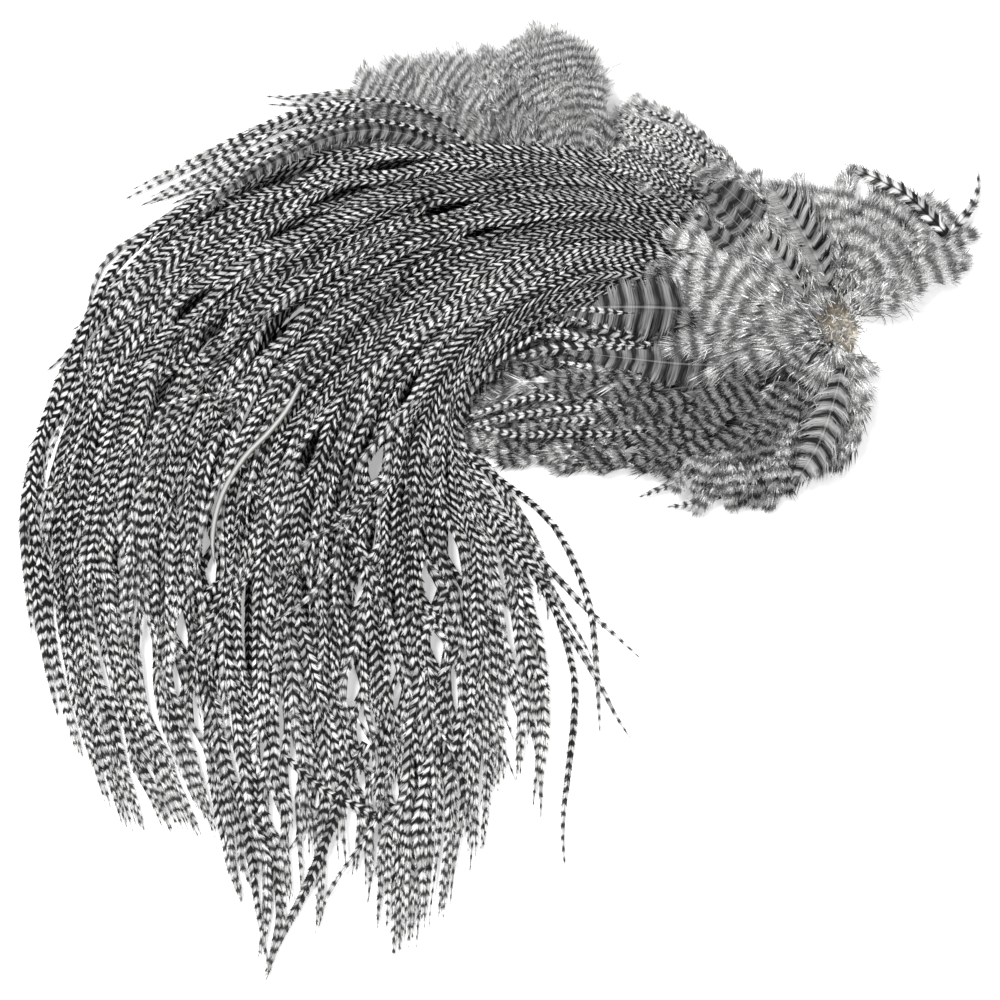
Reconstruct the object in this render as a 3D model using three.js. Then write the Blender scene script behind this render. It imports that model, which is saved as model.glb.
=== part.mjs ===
// Rooster saddle hackle: the dried saddle skin of a barred rooster, lying flat, with its long
// hackles combed into one curl and its soft body feathers fanned out round the butt of the skin.
// Millimetres, +Z up. The origin is on the surface it lies on, under the middle of its outline.
import * as THREE from "three";
import { mergeVertices } from "three/addons/utils/BufferGeometryUtils.js";

// Driving dimensions
const SKIN_THICKNESS = 1.2;
const GAP = 0.3;
const SWEEP_LOCKS = 32;
const SWEEP_HEIGHT = 12;
const FAN_LOCKS = 12;
const FAN_HEIGHT = 7;
const CREST_LOCKS = 2;
const CREST_HEIGHT = 6;
const TUFT_LOCKS = 5;
const TUFT_HEIGHT = 9;
const STRAY_HEIGHT = 1.4;
const TIP_HEIGHT = 0.5;
// The locks beside each path reach its tip and those between two paths end short of it.
const SWEEP_REACHES = [1, 0.94, 0.9, 0.97];
const SWEEP_TAPER = 0.2;
const STRAY_TAPER = 0.25;
const LOCK_STEPS = 14;
const BODY_STEPS = 8;
const STRAY_STEPS = 12;

// Neighbouring locks have their rings at the same places up to here, so that their sides nest.
const SWEEP_SHARED_REACH = 0.86;
const BODY_SHARED_REACH = 0.93;

// How far beyond the skin a lock stays at the skin's height, and then takes to come down.
const SHELF = 12;
const DESCENT = 25;

// Feather paths, root to tip, as [x, y]. In each set the first path is on the right of travel.
const SWEEP_PATHS = [
  [[60, 93], [40, 101], [16, 105], [-8, 106], [-36, 106], [-65, 101], [-94, 87], [-120, 66],
    [-136, 34], [-144, 1], [-142, -32], [-136, -64]],
  [[60, 89], [42, 96], [18, 100], [-7, 100], [-34, 96], [-62, 87], [-89, 71], [-110, 50],
    [-124, 22], [-130, -11], [-128, -47], [-114, -98]],
  [[60, 86], [43, 91], [21, 94], [-4, 92], [-31, 86], [-57, 74], [-81, 56], [-99, 33], [-111, 5], [-115, -26],
    [-109, -61], [-92, -99]],
  [[60, 81], [44, 86], [23, 88], [0, 85], [-26, 77], [-50, 62], [-70, 43], [-86, 19], [-93, -10], [-94, -41],
    [-89, -77], [-81, -121]],
  [[58, 76], [44, 81], [26, 82], [4, 77], [-19, 67], [-40, 51], [-57, 30], [-68, 6], [-73, -22], [-74, -56],
    [-72, -98], [-71, -145]],
  [[57, 71], [43, 75], [26, 75], [8, 70], [-12, 59], [-30, 43], [-43, 22], [-50, -2], [-53, -29], [-54, -59],
    [-54, -92], [-55, -127]],
  [[54, 66], [41, 69], [27, 69], [10, 64], [-6, 53], [-20, 38], [-28, 18], [-32, -5], [-32, -32], [-30, -62],
    [-29, -98], [-31, -137]],
  [[50, 60], [39, 63], [27, 62], [13, 58], [-2, 49], [-13, 36], [-16, 19], [-14, -2], [-9, -29], [-6, -56],
    [-6, -83], [-8, -113]],
  [[46, 54], [37, 56], [27, 56], [15, 53], [2, 46], [-10, 35], [-15, 22], [-7, 5], [4, -17], [10, -44],
    [12, -71], [10, -94]],
];
const FAN_PATHS = [
  [[104, 54], [113, 57], [123, 61], [134, 67], [144, 73]],
  [[104, 57], [112, 64], [122, 71], [133, 78], [144, 82]],
  [[102, 59], [108, 68], [116, 77], [125, 85], [134, 89]],
  [[100, 61], [104, 70], [108, 79], [112, 87], [116, 94]],
  [[98, 62], [98, 70], [98, 79], [96, 89], [95, 99]],
  [[95, 61], [92, 69], [88, 78], [84, 87], [80, 97]],
  [[94, 59], [88, 66], [81, 74], [76, 82], [71, 89]],
  [[92, 56], [84, 62], [75, 70], [67, 76], [60, 82]],
  [[92, 54], [81, 58], [69, 63], [56, 67], [40, 70]],
  [[92, 51], [79, 52], [65, 52], [49, 52], [28, 52]],
  [[92, 48], [80, 46], [63, 43], [40, 42], [4, 42]],
  [[93, 46], [82, 38], [65, 32], [40, 27], [-12, 26]],
  [[94, 44], [85, 31], [69, 20], [44, 12], [-2, 12]],
  [[96, 42], [92, 30], [81, 19], [66, 9], [41, 2]],
  [[99, 42], [98, 28], [93, 16], [82, 3], [64, -5]],
  [[101, 42], [105, 31], [104, 20], [98, 9], [87, -1]],
  [[104, 44], [110, 40], [112, 32], [111, 22], [106, 13]],
];
const CREST_PATHS = [
  [[78, 95], [71, 103], [62, 111], [51, 118], [37, 124]],
  [[64, 93], [55, 99], [47, 104], [40, 108], [33, 112]],
];
const TUFT_PATHS = [
  [[30, 113], [31, 119], [31, 125], [30, 132]],
  [[21, 109], [22, 120], [22, 131], [22, 143]],
  [[13, 108], [12, 120], [10, 133], [8, 146]],
  [[4, 108], [2, 119], [-2, 130], [-5, 141]],
  [[-3, 108], [-8, 118], [-14, 127], [-20, 136]],
  [[-9, 109], [-16, 118], [-24, 125], [-33, 132]],
  [[-15, 112], [-24, 118], [-33, 122], [-43, 127]],
  [[-21, 115], [-30, 117], [-40, 119], [-50, 122]],
];
// Single feathers that lie apart from the locks, each with its width.
const STRAYS = [
  { name: "hackle_stray_top", width: 6,
    path: [[-21, 110], [-33, 112], [-46, 112], [-60, 109], [-76, 104], [-95, 98], [-114, 91]] },
  { name: "hackle_stray_left", width: 2.6,
    path: [[-110, 76], [-117, 73], [-123, 67], [-126, 61], [-128, 53]] },
  { name: "hackle_stray_near", width: 3,
    path: [[0, 9], [11, -2], [21, -17], [26, -37], [27, -56], [28, -69]] },
  { name: "hackle_stray_long", width: 3,
    path: [[8, -19], [14, -33], [19, -49], [20, -65], [18, -86], [18, -109]] },
  { name: "hackle_stray_out", width: 2.6, path: [[28, -22], [33, -34], [40, -47]] },
  { name: "tuft_wisp", width: 4, path: [[-46, 118], [-54, 120.5], [-63, 122], [-73, 122]] },
  { name: "spotted_feather", width: 6, path: [[126, 95], [115, 98], [102, 104]] },
  { name: "lobe_tip_feather", width: 3, path: [[140, 91], [143, 96], [144, 102]] },
];
const SKIN_OUTLINE = [
  [-20, 104], [4, 106], [32, 106], [58, 100], [75, 89], [88, 72], [101, 62], [106, 52],
  [103, 43], [90, 37], [68, 32], [40, 36], [16, 49], [-4, 64], [-18, 85],
];

// How a pile's height runs along its locks, as shares of the path and of the full height.
const SWEEP_PROFILE = { root: 0.2, riseStart: 0.02, riseEnd: 0.16, fallStart: 0.25, tip: 0.13 };
const BODY_PROFILE = { root: 0.3, riseStart: 0, riseEnd: 0.35, fallStart: 0.5, tip: 0.25 };
// The curl is this much lower at its outer and inner edges, and no two neighbours are level.
const SWEEP_EDGE_HEIGHT = 0.5;
const UNEVENNESS = 0.12;

// Near its tip a lock narrows by this power, and keeps at least this share of its thickness.
const NARROWING_POWER = 0.8;
const THINNEST = 0.2;

// Cross-sections of a lock, as [across, up], going round from the middle of the top.
const RIDGED_SECTION = [[0, 0.74], [0.5, 1], [1, 0.4], [0.74, 0], [-0.74, 0], [-1, 0.4], [-0.5, 1]];
const PLAIN_SECTION = [[0, 1], [1, 0.4], [0.7, 0], [-0.7, 0], [-1, 0.4]];
const SECTION_CENTRE = [0, 0.4];
const SKIN_COLOUR = new THREE.Color(0.72, 0.62, 0.5);

const smooth = THREE.MathUtils.smoothstep;
const lerp = THREE.MathUtils.lerp;
const clamp = THREE.MathUtils.clamp;

// A set of paths becomes one field: across runs 0 to 1 over the paths, along 0 to 1 root to tip.
function flowField(paths) {
  const curves = paths.map((path) => {
    const points = path.map(([x, y]) => new THREE.Vector3(x, y, 0));
    return new THREE.CatmullRomCurve3(points, false, "centripetal");
  });
  return (across, along) => {
    const place = across * (curves.length - 1);
    const first = Math.min(Math.floor(place), curves.length - 2);
    const start = curves[first].getPointAt(along);
    return start.lerp(curves[first + 1].getPointAt(along), place - first);
  };
}

// One feather's own path as a field that is as wide as the feather.
function strayField(path, width) {
  const points = path.map(([x, y]) => new THREE.Vector3(x, y, 0));
  const curve = new THREE.CatmullRomCurve3(points, false, "centripetal");
  return (across, along) => {
    const tangent = curve.getTangentAt(along);
    const side = new THREE.Vector3(tangent.y, -tangent.x, 0);
    return curve.getPointAt(along).addScaledVector(side, (0.5 - across) * width);
  };
}

const skinCurve = new THREE.SplineCurve(
  [...SKIN_OUTLINE, SKIN_OUTLINE[0]].map(([x, y]) => new THREE.Vector2(x, y)),
);
const skinEdge = skinCurve.getPoints(3 * SKIN_OUTLINE.length);

// Distance from a point to the skin, 0 inside it.
function distanceToSkin(point) {
  let inside = false;
  let nearest = Infinity;
  for (let i = 0; i < skinEdge.length - 1; i++) {
    const a = skinEdge[i];
    const b = skinEdge[i + 1];
    const span = b.clone().sub(a);
    const reach = new THREE.Vector2(point.x, point.y).sub(a);
    const share = clamp(reach.dot(span) / span.lengthSq(), 0, 1);
    nearest = Math.min(nearest, reach.distanceTo(span.clone().multiplyScalar(share)));
    const crosses = a.y > point.y !== b.y > point.y;
    if (crosses && point.x < a.x + ((point.y - a.y) / span.y) * span.x) inside = !inside;
  }
  return inside ? 0 : nearest;
}

// A lock lies on the skin, stays level just past its edge, and comes down to the surface.
function undersideAt(point) {
  const fall = clamp((distanceToSkin(point) - SHELF) / DESCENT, 0, 1);
  return (SKIN_THICKNESS + GAP) * (1 - fall);
}

// A lock between two lines of a field. It is a cone laid along the field: its rings become
// cross-sections, its base the root and its apex the tip.
function lockGeometry({ field, right, left, shared, reach, steps, section, taper, height, lift }) {
  const geometry = new THREE.CylinderGeometry(0, 1, 1, section.length, steps);
  geometry.deleteAttribute("normal");
  geometry.deleteAttribute("uv");
  const position = geometry.getAttribute("position");
  const vertex = new THREE.Vector3();
  for (let i = 0; i < position.count; i++) {
    vertex.fromBufferAttribute(position, i);
    const row = Math.round((vertex.y + 0.5) * steps);
    const along = row < steps ? (shared * row) / (steps - 1) : reach;
    const onAxis = Math.hypot(vertex.x, vertex.z) < 1e-6;
    const turn = (Math.atan2(vertex.x, vertex.z) + 2 * Math.PI) / (2 * Math.PI);
    const corner = Math.round(turn * section.length) % section.length;
    const [across, up] = onAxis ? SECTION_CENTRE : section[corner];
    const narrowing = Math.pow(Math.min(1, (reach - along) / taper), NARROWING_POWER);
    const rightEdge = field(right, along);
    const leftEdge = field(left, along);
    const width = Math.max(rightEdge.distanceTo(leftEdge), GAP);
    const share = across * narrowing * (1 - GAP / width);
    const place = rightEdge.clone().lerp(leftEdge, 0.5 - share / 2);
    const underside = undersideAt(place) + (lift ? lift(along / reach) : 0);
    const thickness = Math.max(height(along) * Math.max(narrowing, THINNEST), TIP_HEIGHT);
    position.setXYZ(i, place.x, place.y, underside + up * thickness);
  }
  return mergeVertices(geometry, 1e-4);
}

function pileHeight(full, profile) {
  return (along) => {
    const rise = lerp(profile.root, 1, smooth(along, profile.riseStart, profile.riseEnd));
    const fall = lerp(1, profile.tip, smooth(along, profile.fallStart, 1));
    return full * rise * fall;
  };
}

const featherColour = (shade) => new THREE.Color(shade, shade, shade * 0.98);

function addMesh(group, name, geometry, colour, roughness) {
  const material = new THREE.MeshStandardMaterial({ color: colour, roughness, metalness: 0 });
  const mesh = new THREE.Mesh(geometry, material);
  mesh.name = name;
  group.add(mesh);
}

// The dried skin, a thin flat plate with a rounded outline.
function addSkin(group) {
  const shape = new THREE.Shape(skinEdge.slice(0, -1));
  const plate = new THREE.ExtrudeGeometry(shape, { depth: SKIN_THICKNESS, bevelEnabled: false });
  addMesh(group, "skin", plate, SKIN_COLOUR, 0.7);
}

// The long hackles, one lock beside the other from the outside of the curl to its inside.
// Their tips end at slightly different reaches, and the pile is highest in its middle.
function addSweep(group) {
  const field = flowField(SWEEP_PATHS);
  for (let i = 0; i < SWEEP_LOCKS; i++) {
    const middle = (i + 0.5) / SWEEP_LOCKS;
    const crown = lerp(SWEEP_EDGE_HEIGHT, 1, Math.sin(Math.PI * middle));
    const full = SWEEP_HEIGHT * crown * (1 - UNEVENNESS * (i % 3));
    const geometry = lockGeometry({
      field,
      right: i / SWEEP_LOCKS,
      left: (i + 1) / SWEEP_LOCKS,
      shared: SWEEP_SHARED_REACH,
      reach: SWEEP_REACHES[i % SWEEP_REACHES.length],
      steps: LOCK_STEPS,
      section: RIDGED_SECTION,
      taper: SWEEP_TAPER,
      height: pileHeight(full, SWEEP_PROFILE),
    });
    const name = `hackle_lock_${String(i + 1).padStart(2, "0")}`;
    addMesh(group, name, geometry, featherColour(0.3 + 0.06 * (i % 3)), 0.6);
  }
}

// Soft body feathers: shorter locks that rise from the root and thin out towards the tip.
function addBodyLocks(group, { paths, count, name, height, taper, lift, ragged }) {
  const field = flowField(paths);
  for (let i = 0; i < count; i++) {
    const full = height * (1 - UNEVENNESS * (i % 2));
    const geometry = lockGeometry({
      field,
      right: i / count,
      left: (i + 1) / count,
      shared: BODY_SHARED_REACH,
      reach: 1 - ragged * Math.abs(Math.sin(i * 2.4)),
      steps: BODY_STEPS,
      section: RIDGED_SECTION,
      taper,
      height: pileHeight(full, BODY_PROFILE),
      lift: lift(i),
    });
    const label = `${name}_${String(i + 1).padStart(2, "0")}`;
    addMesh(group, label, geometry, featherColour(0.36 + 0.05 * (i % 2)), 0.7);
  }
}

// The fan's locks that point towards the curl lie with their tips over the hackles' roots.
const FAN_OVERLAP = { first: 5, last: 7, lift: 4, start: 0.35, end: 0.7 };

function fanLift(i) {
  const covers = i >= FAN_OVERLAP.first && i <= FAN_OVERLAP.last;
  return covers ? (share) => FAN_OVERLAP.lift * smooth(share, FAN_OVERLAP.start, FAN_OVERLAP.end) : null;
}

function addStrays(group) {
  for (const { name, width, path } of STRAYS) {
    const geometry = lockGeometry({
      field: strayField(path, width),
      right: 0,
      left: 1,
      shared: SWEEP_SHARED_REACH,
      reach: 1,
      steps: STRAY_STEPS,
      section: PLAIN_SECTION,
      taper: STRAY_TAPER,
      height: () => STRAY_HEIGHT,
    });
    addMesh(group, name, geometry, featherColour(0.4), 0.6);
  }
}

const pelt = new THREE.Group();
addSkin(pelt);
addSweep(pelt);
addBodyLocks(pelt, {
  paths: FAN_PATHS,
  count: FAN_LOCKS,
  name: "saddle_feathers",
  height: FAN_HEIGHT,
  taper: 0.12,
  lift: fanLift,
  ragged: 0.03,
});
addBodyLocks(pelt, {
  paths: CREST_PATHS,
  count: CREST_LOCKS,
  name: "back_feathers",
  height: CREST_HEIGHT,
  taper: 0.15,
  lift: () => null,
  ragged: 0.03,
});
addBodyLocks(pelt, {
  paths: TUFT_PATHS,
  count: TUFT_LOCKS,
  name: "fluff_tuft",
  height: TUFT_HEIGHT,
  taper: 0.15,
  lift: () => null,
  ragged: 0.02,
});
addStrays(pelt);

export default pelt;
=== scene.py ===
"""A dried rooster saddle pelt seen from straight above: long barred hackles combed into one curl,
soft body feathers fanned round the butt of the skin, and a tuft of fluff on the upper edge."""
import dataclasses
import math

import bmesh
import bpy
import numpy as np
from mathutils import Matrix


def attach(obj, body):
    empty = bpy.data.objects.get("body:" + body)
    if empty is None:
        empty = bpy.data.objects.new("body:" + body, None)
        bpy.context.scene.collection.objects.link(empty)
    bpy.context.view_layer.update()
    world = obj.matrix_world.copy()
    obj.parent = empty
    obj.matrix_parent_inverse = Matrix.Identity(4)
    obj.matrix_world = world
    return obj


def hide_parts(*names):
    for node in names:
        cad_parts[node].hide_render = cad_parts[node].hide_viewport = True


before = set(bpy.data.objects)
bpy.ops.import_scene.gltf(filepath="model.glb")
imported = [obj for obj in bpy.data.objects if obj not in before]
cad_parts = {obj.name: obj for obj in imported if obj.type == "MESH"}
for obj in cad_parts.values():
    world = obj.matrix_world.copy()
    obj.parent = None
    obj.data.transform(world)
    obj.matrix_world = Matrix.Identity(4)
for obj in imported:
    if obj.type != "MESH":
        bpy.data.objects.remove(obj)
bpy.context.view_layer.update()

MM = 0.001
chance = np.random.default_rng(58)

# Pile heights and clearances, in millimetres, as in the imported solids
SKIN_THICKNESS = 1.2
SHELF_HEIGHT = 1.5
SHELF = 12
DESCENT = 25
SWEEP_HEIGHT = 12
FAN_HEIGHT = 7
CREST_HEIGHT = 6
TUFT_HEIGHT = 9
INNER_HEIGHT = 4.5
ARCH_FLUFF_HEIGHT = 6
SWEEP_PROFILE = dict(root=0.2, rise=(0.02, 0.16), fall=0.25, tip=0.13)
BODY_PROFILE = dict(root=0.3, rise=(0, 0.35), fall=0.5, tip=0.25)
SWEEP_EDGE_HEIGHT = 0.5
FLOOR_GAP = 0.06
# How far below its edges a feather's core reaches, and how far from a hackle's tip its body narrows
CORE_DEPTH = 0.12
BODY_ENDS = (70, 120)

# Feather paths, root to tip, as [x, y] in millimetres. The curl's run from its outer edge to its
# inner one, and the fan's from the lobe's lower edge anticlockwise round the butt.
SWEEP_PATHS = [
    [[60, 93], [40, 101], [16, 105], [-8, 106], [-36, 106], [-65, 101], [-94, 87], [-118.5, 65],
     [-133.5, 33.5], [-142.5, 1], [-143.5, -32], [-137, -66]],
    [[60, 89], [42, 96], [18, 100], [-7, 100], [-34, 96], [-62, 87], [-89, 71], [-110, 50],
     [-124, 22], [-130, -11], [-128, -47], [-114, -98]],
    [[60, 86], [43, 91], [21, 94], [-4, 92], [-31, 86], [-57, 74], [-81, 56], [-99, 33],
     [-111, 5], [-115, -26], [-109, -61], [-92, -99]],
    [[60, 81], [44, 86], [23, 88], [0, 85], [-26, 77], [-50, 62], [-70, 43], [-86, 19],
     [-93, -10], [-94, -41], [-88, -77], [-79, -121]],
    [[58, 76], [44, 81], [26, 82], [4, 77], [-19, 67], [-40, 51], [-57, 30], [-68, 6],
     [-73, -22], [-74, -56], [-69, -98], [-65.5, -126], [-71, -145]],
    [[57, 71], [43, 75], [26, 75], [8, 70], [-12, 59], [-30, 43], [-43, 22], [-50, -2],
     [-53, -29], [-54, -59], [-54, -92], [-55, -127]],
    [[54, 66], [41, 69], [27, 69], [10, 64], [-6, 53], [-20, 38], [-28, 18], [-32, -5],
     [-32, -32], [-30, -62], [-29, -98], [-31, -137]],
    [[50, 60], [39, 63], [27, 62], [13, 58], [-2, 49], [-13, 36], [-16, 19], [-14, -2],
     [-9, -29], [-6, -56], [-6, -83], [-8, -113]],
    [[46, 54], [37, 56], [27, 56], [15, 53], [2, 46], [-10, 35], [-15, 22], [-7, 5],
     [4, -17], [9, -44], [10.8, -71], [9.5, -94]],
]
FAN_PATHS = [
    [[104, 54], [113, 57], [123, 61], [134, 66.5], [142, 71.5]],
    [[104, 57], [112, 64], [122, 71], [132, 77.5], [141, 81]],
    [[102, 59], [108, 68], [116, 77], [125, 85], [134, 89]],
    [[100, 61], [104, 70], [108, 79], [112, 86], [115.5, 92]],
    [[98, 62], [98, 70], [98, 79], [96.5, 88], [96, 97]],
    [[95, 61], [92, 69], [88, 78], [84, 87], [80.5, 95.5]],
    [[94, 59], [88, 66], [81, 74], [76, 82], [71, 89]],
    [[92, 56], [84, 62], [75, 70], [67, 76], [60, 82]],
    [[92, 54], [81, 58], [69, 63], [56, 67], [40, 70]],
    [[92, 51], [79, 52], [65, 52], [49, 52], [28, 52]],
    [[92, 48], [80, 46], [63, 43], [40, 42], [4, 42]],
    [[93, 46], [82, 38], [65, 32], [40, 27], [-12, 26]],
    [[94, 44], [85, 31], [69, 20], [44, 12.5], [-2, 12.7]],
    [[96, 42], [92, 30], [81, 19], [66, 9.5], [42, 3]],
    [[99, 42], [98, 28], [93, 16], [82, 3], [64, -5]],
    [[101, 42], [105, 31], [104, 20], [98, 9], [87, -1]],
    [[104, 44], [110, 40], [111.5, 32], [109, 23], [103, 15]],
]
# Under the curl's inner edge, where the flank's feathers meet it
INNER_PATHS = [
    [[66, 54], [44, 55], [22, 53], [2, 48]],
    [[62, 46], [38, 47], [12, 44], [-14, 39]],
    [[60, 39], [36, 38], [10, 34], [-17, 31]],
    [[60, 33], [36, 29], [12, 24], [-15, 22]],
    [[58, 24], [36, 17], [14, 13], [-8, 15]],
]
# The flank's lowest fur, that points straight to the lower edge
SKIRT_PATHS = [
    [[56, 17], [52, 8], [48, 0]],
    [[66, 19], [63, 8], [58, -4.5]],
    [[76, 21], [74, 9], [71, -6]],
    [[86, 22], [84, 10], [80, -4]],
    [[95, 20], [94, 12], [91, 4]],
]
# Grey fluff between the tuft and the curl
ARCH_FLUFF_PATHS = [
    [[0, 106], [-16, 114], [-34, 118], [-52, 115], [-68, 108]],
    [[0, 101], [-16, 108], [-34, 111], [-52, 108], [-68, 101]],
    [[0, 97], [-16, 102], [-34, 104], [-52, 101], [-68, 94]],
]
CREST_PATHS = [
    [[75, 94], [67.5, 99.5], [59.5, 107], [49, 113.5], [35, 119.5]],
    [[64, 93], [55, 99], [47, 104], [40, 108], [33, 112]],
    [[56, 88], [48, 93], [39, 98], [30, 101], [20, 103]],
]
TUFT_PATHS = [
    [[31, 104], [29, 110], [27, 116], [23, 122]],
    [[27, 110], [26, 117], [23.5, 124], [19.5, 131]],
    [[20, 109], [20, 120], [18, 130], [15, 140]],
    [[13, 108], [11, 120], [8, 131], [4, 141]],
    [[4, 108], [2, 118], [-2, 128], [-5, 138]],
    [[-3, 108], [-8, 117], [-14, 125], [-19, 132]],
    [[-9, 109], [-16, 117], [-24, 123], [-32, 129]],
    [[-15, 112], [-24, 117], [-33, 121], [-42, 126]],
    [[-21, 114], [-30, 116], [-40, 119], [-49, 122]],
]
SKIN_OUTLINE = [
    [-20, 104], [4, 106], [32, 106], [58, 100], [75, 89], [88, 72], [101, 62], [106, 52],
    [103, 43], [90, 37], [68, 32], [40, 36], [16, 49], [-4, 64], [-18, 85],
]
# The butt of the skin, from which all feathers run
BUTT = (98, 54)

# How barbs are laid out in their UV map: columns of makes, rows of cross bars. Each of the
# three grades has a few columns, so that neighbours differ.
GRADES = 3
LUCKS = 10
KINDS = GRADES * LUCKS
BAR_ROWS = 16
COLUMN_FILL = 0.94
# Counts of bars start this high, so that none falls below zero
FIRST_BAR = 200
# The spacing of bars on loose hairs, in millimetres
WISP_SPACING = 9
# In radians
FULL_TURN = 6.28


def smooth(value, low, high):
    share = np.clip((value - low) / (high - low), 0, 1)
    return share * share * (3 - 2 * share)


def lerp(start, end, share):
    return start + (end - start) * share


def toward(angle, reach=1):
    """Steps in plan, by their angles and their reach."""
    return np.stack([np.cos(angle) * reach, np.sin(angle) * reach], axis=-1)


def left_of(step):
    """Steps in plan turned a quarter to the left."""
    return np.stack([-step[..., 1], step[..., 0]], axis=-1)


# Curves and fields

def spline(points, samples=241):
    """A centripetal Catmull-Rom curve through the points, at equal steps of length."""
    knots = np.array(points, float)
    knots = np.vstack([2 * knots[0] - knots[1], knots, 2 * knots[-1] - knots[-2]])
    run = []
    share = np.linspace(0, 1, 24, endpoint=False)[:, None]
    for p0, p1, p2, p3 in zip(knots, knots[1:], knots[2:], knots[3:]):
        d0, d1, d2 = (math.sqrt(np.linalg.norm(b - a)) for a, b in ((p0, p1), (p1, p2), (p2, p3)))
        lead = ((p1 - p0) / d0 - (p2 - p0) / (d0 + d1) + (p2 - p1) / d1) * d1
        trail = ((p2 - p1) / d1 - (p3 - p1) / (d1 + d2) + (p3 - p2) / d2) * d1
        square, cube = share ** 2, share ** 3
        run.append(p1 * (2 * cube - 3 * square + 1) + lead * (cube - 2 * square + share)
                   + p2 * (3 * square - 2 * cube) + trail * (cube - square))
    run = np.vstack(run + [knots[-2:-1]])
    reach = np.concatenate([[0], np.cumsum(np.linalg.norm(np.diff(run, axis=0), axis=1))])
    even = np.linspace(0, reach[-1], samples)
    return np.stack([np.interp(even, reach, run[:, k]) for k in range(run.shape[1])], axis=1)


class Field:
    """A set of paths as one field: across runs 0 to 1 over the paths, along root to tip. The
    feathers on it pile up to its height, in millimetres."""

    def __init__(self, paths, height=0):
        self.curves = np.stack([spline(path) for path in paths])
        self.lengths = np.linalg.norm(np.diff(self.curves, axis=1), axis=2).sum(axis=1)
        self.height = height

    def place(self, across, along):
        count, samples = self.curves.shape[:2]
        row = np.clip(across, -0.2, 1.2) * (count - 1)
        column = np.asarray(along) * (samples - 1)
        row0 = np.clip(np.floor(row), 0, count - 2).astype(int)
        column0 = np.clip(np.floor(column), 0, samples - 2).astype(int)
        side = (row - row0)[:, None]
        ahead = (column - column0)[:, None]
        near = lerp(self.curves[row0, column0], self.curves[row0, column0 + 1], ahead)
        far = lerp(self.curves[row0 + 1, column0], self.curves[row0 + 1, column0 + 1], ahead)
        return lerp(near, far, side)

    def heading(self, across, along):
        step = self.place(across, along + 0.01) - self.place(across, along - 0.01)
        return np.arctan2(step[:, 1], step[:, 0])


skin_edge = spline(SKIN_OUTLINE + SKIN_OUTLINE[:1], 91)


def distance_to_skin(places):
    """How far each place is from the skin in plan, 0 inside it."""
    a, b = skin_edge[:-1], skin_edge[1:]
    span = b - a
    reach = places[:, None, :2] - a
    share = np.clip((reach * span).sum(2) / (span ** 2).sum(1), 0, 1)
    gap = np.linalg.norm(reach - span * share[..., None], axis=2).min(axis=1)
    x, y = places[:, 0:1], places[:, 1:2]
    spans_y = (a[:, 1] > y) != (b[:, 1] > y)
    lift = np.where(np.abs(span[:, 1]) < 1e-9, 1e-9, span[:, 1])
    crossings = spans_y & (x < a[:, 0] + (y - a[:, 1]) / lift * span[:, 0])
    inside = crossings.sum(axis=1) % 2 == 1
    return np.where(inside, 0, gap)


def ground(places):
    """The height that a feather lies at: on the skin, or down on the surface beside it."""
    fall = np.clip((distance_to_skin(places) - SHELF) / DESCENT, 0, 1)
    return SHELF_HEIGHT * (1 - fall)


def pile(along, profile):
    """The share of its full height that a pile of feathers has from root to tip."""
    along = np.clip(along, 0, 1)
    rise = lerp(profile["root"], 1, smooth(along, *profile["rise"]))
    fall = lerp(1, profile["tip"], smooth(along, profile["fall"], 1))
    return rise * fall


# Feathers

class Line:
    """A feather's centre line, from its plan and its heights, with the directions across it and up
    from it. It is rolled about itself."""

    def __init__(self, plan, heights, roll=0):
        places = np.column_stack([plan, heights])
        steps = np.linalg.norm(np.diff(places, axis=0), axis=1)
        self.reach = np.concatenate([[0], np.cumsum(steps)])
        self.length = self.reach[-1]
        tangent = np.gradient(places, self.reach, axis=0)
        tangent /= np.linalg.norm(tangent, axis=1)[:, None]
        flat = np.stack([tangent[:, 1], -tangent[:, 0], np.zeros(len(places))], axis=1)
        flat /= np.linalg.norm(flat, axis=1)[:, None]
        up = np.cross(flat, tangent)
        turn = np.broadcast_to(roll, len(places))[:, None]
        across = flat * np.cos(turn) + up * np.sin(turn)
        self.table = np.hstack([places, tangent, across, np.cross(across, tangent)])

    def from_butt(self, reach):
        steps = np.interp(reach, self.reach, np.arange(len(self.reach))).astype(int)
        return np.linalg.norm(self.table[steps, :2] - BUTT, axis=1)

    def at(self, reach, side, rise):
        inside = np.clip(reach, 0, self.length)
        row = np.stack([np.interp(inside, self.reach, column) for column in self.table.T], axis=-1)
        beyond = (reach - inside)[..., None] * np.array([1, 1, 0])
        return (row[..., 0:3] + row[..., 3:6] * beyond + row[..., 6:9] * side[..., None]
                + row[..., 9:12] * rise[..., None])


def raised_line(path, heights, roll=0):
    """A line along a path, at the heights given for its root, middle and tip."""
    steps = 30
    return Line(spline(path, steps), np.interp(np.linspace(0, 1, steps), (0, 0.5, 1), heights), roll)


def add_to_scene(name, data):
    thing = bpy.data.objects.new(name, data)
    bpy.context.scene.collection.objects.link(thing)
    return thing


def finish_piece(name, mesh, material, nodes):
    """Puts a mesh into the scene on the body it rides on, in place of the solids it stands for."""
    mesh.materials.append(material)
    piece = add_to_scene(name, mesh)
    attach(piece, "root")
    if nodes:
        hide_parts(*nodes)


def numbered(stem, first, last):
    return [f"{stem}_{number:02d}" for number in range(first, last + 1)]


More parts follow.
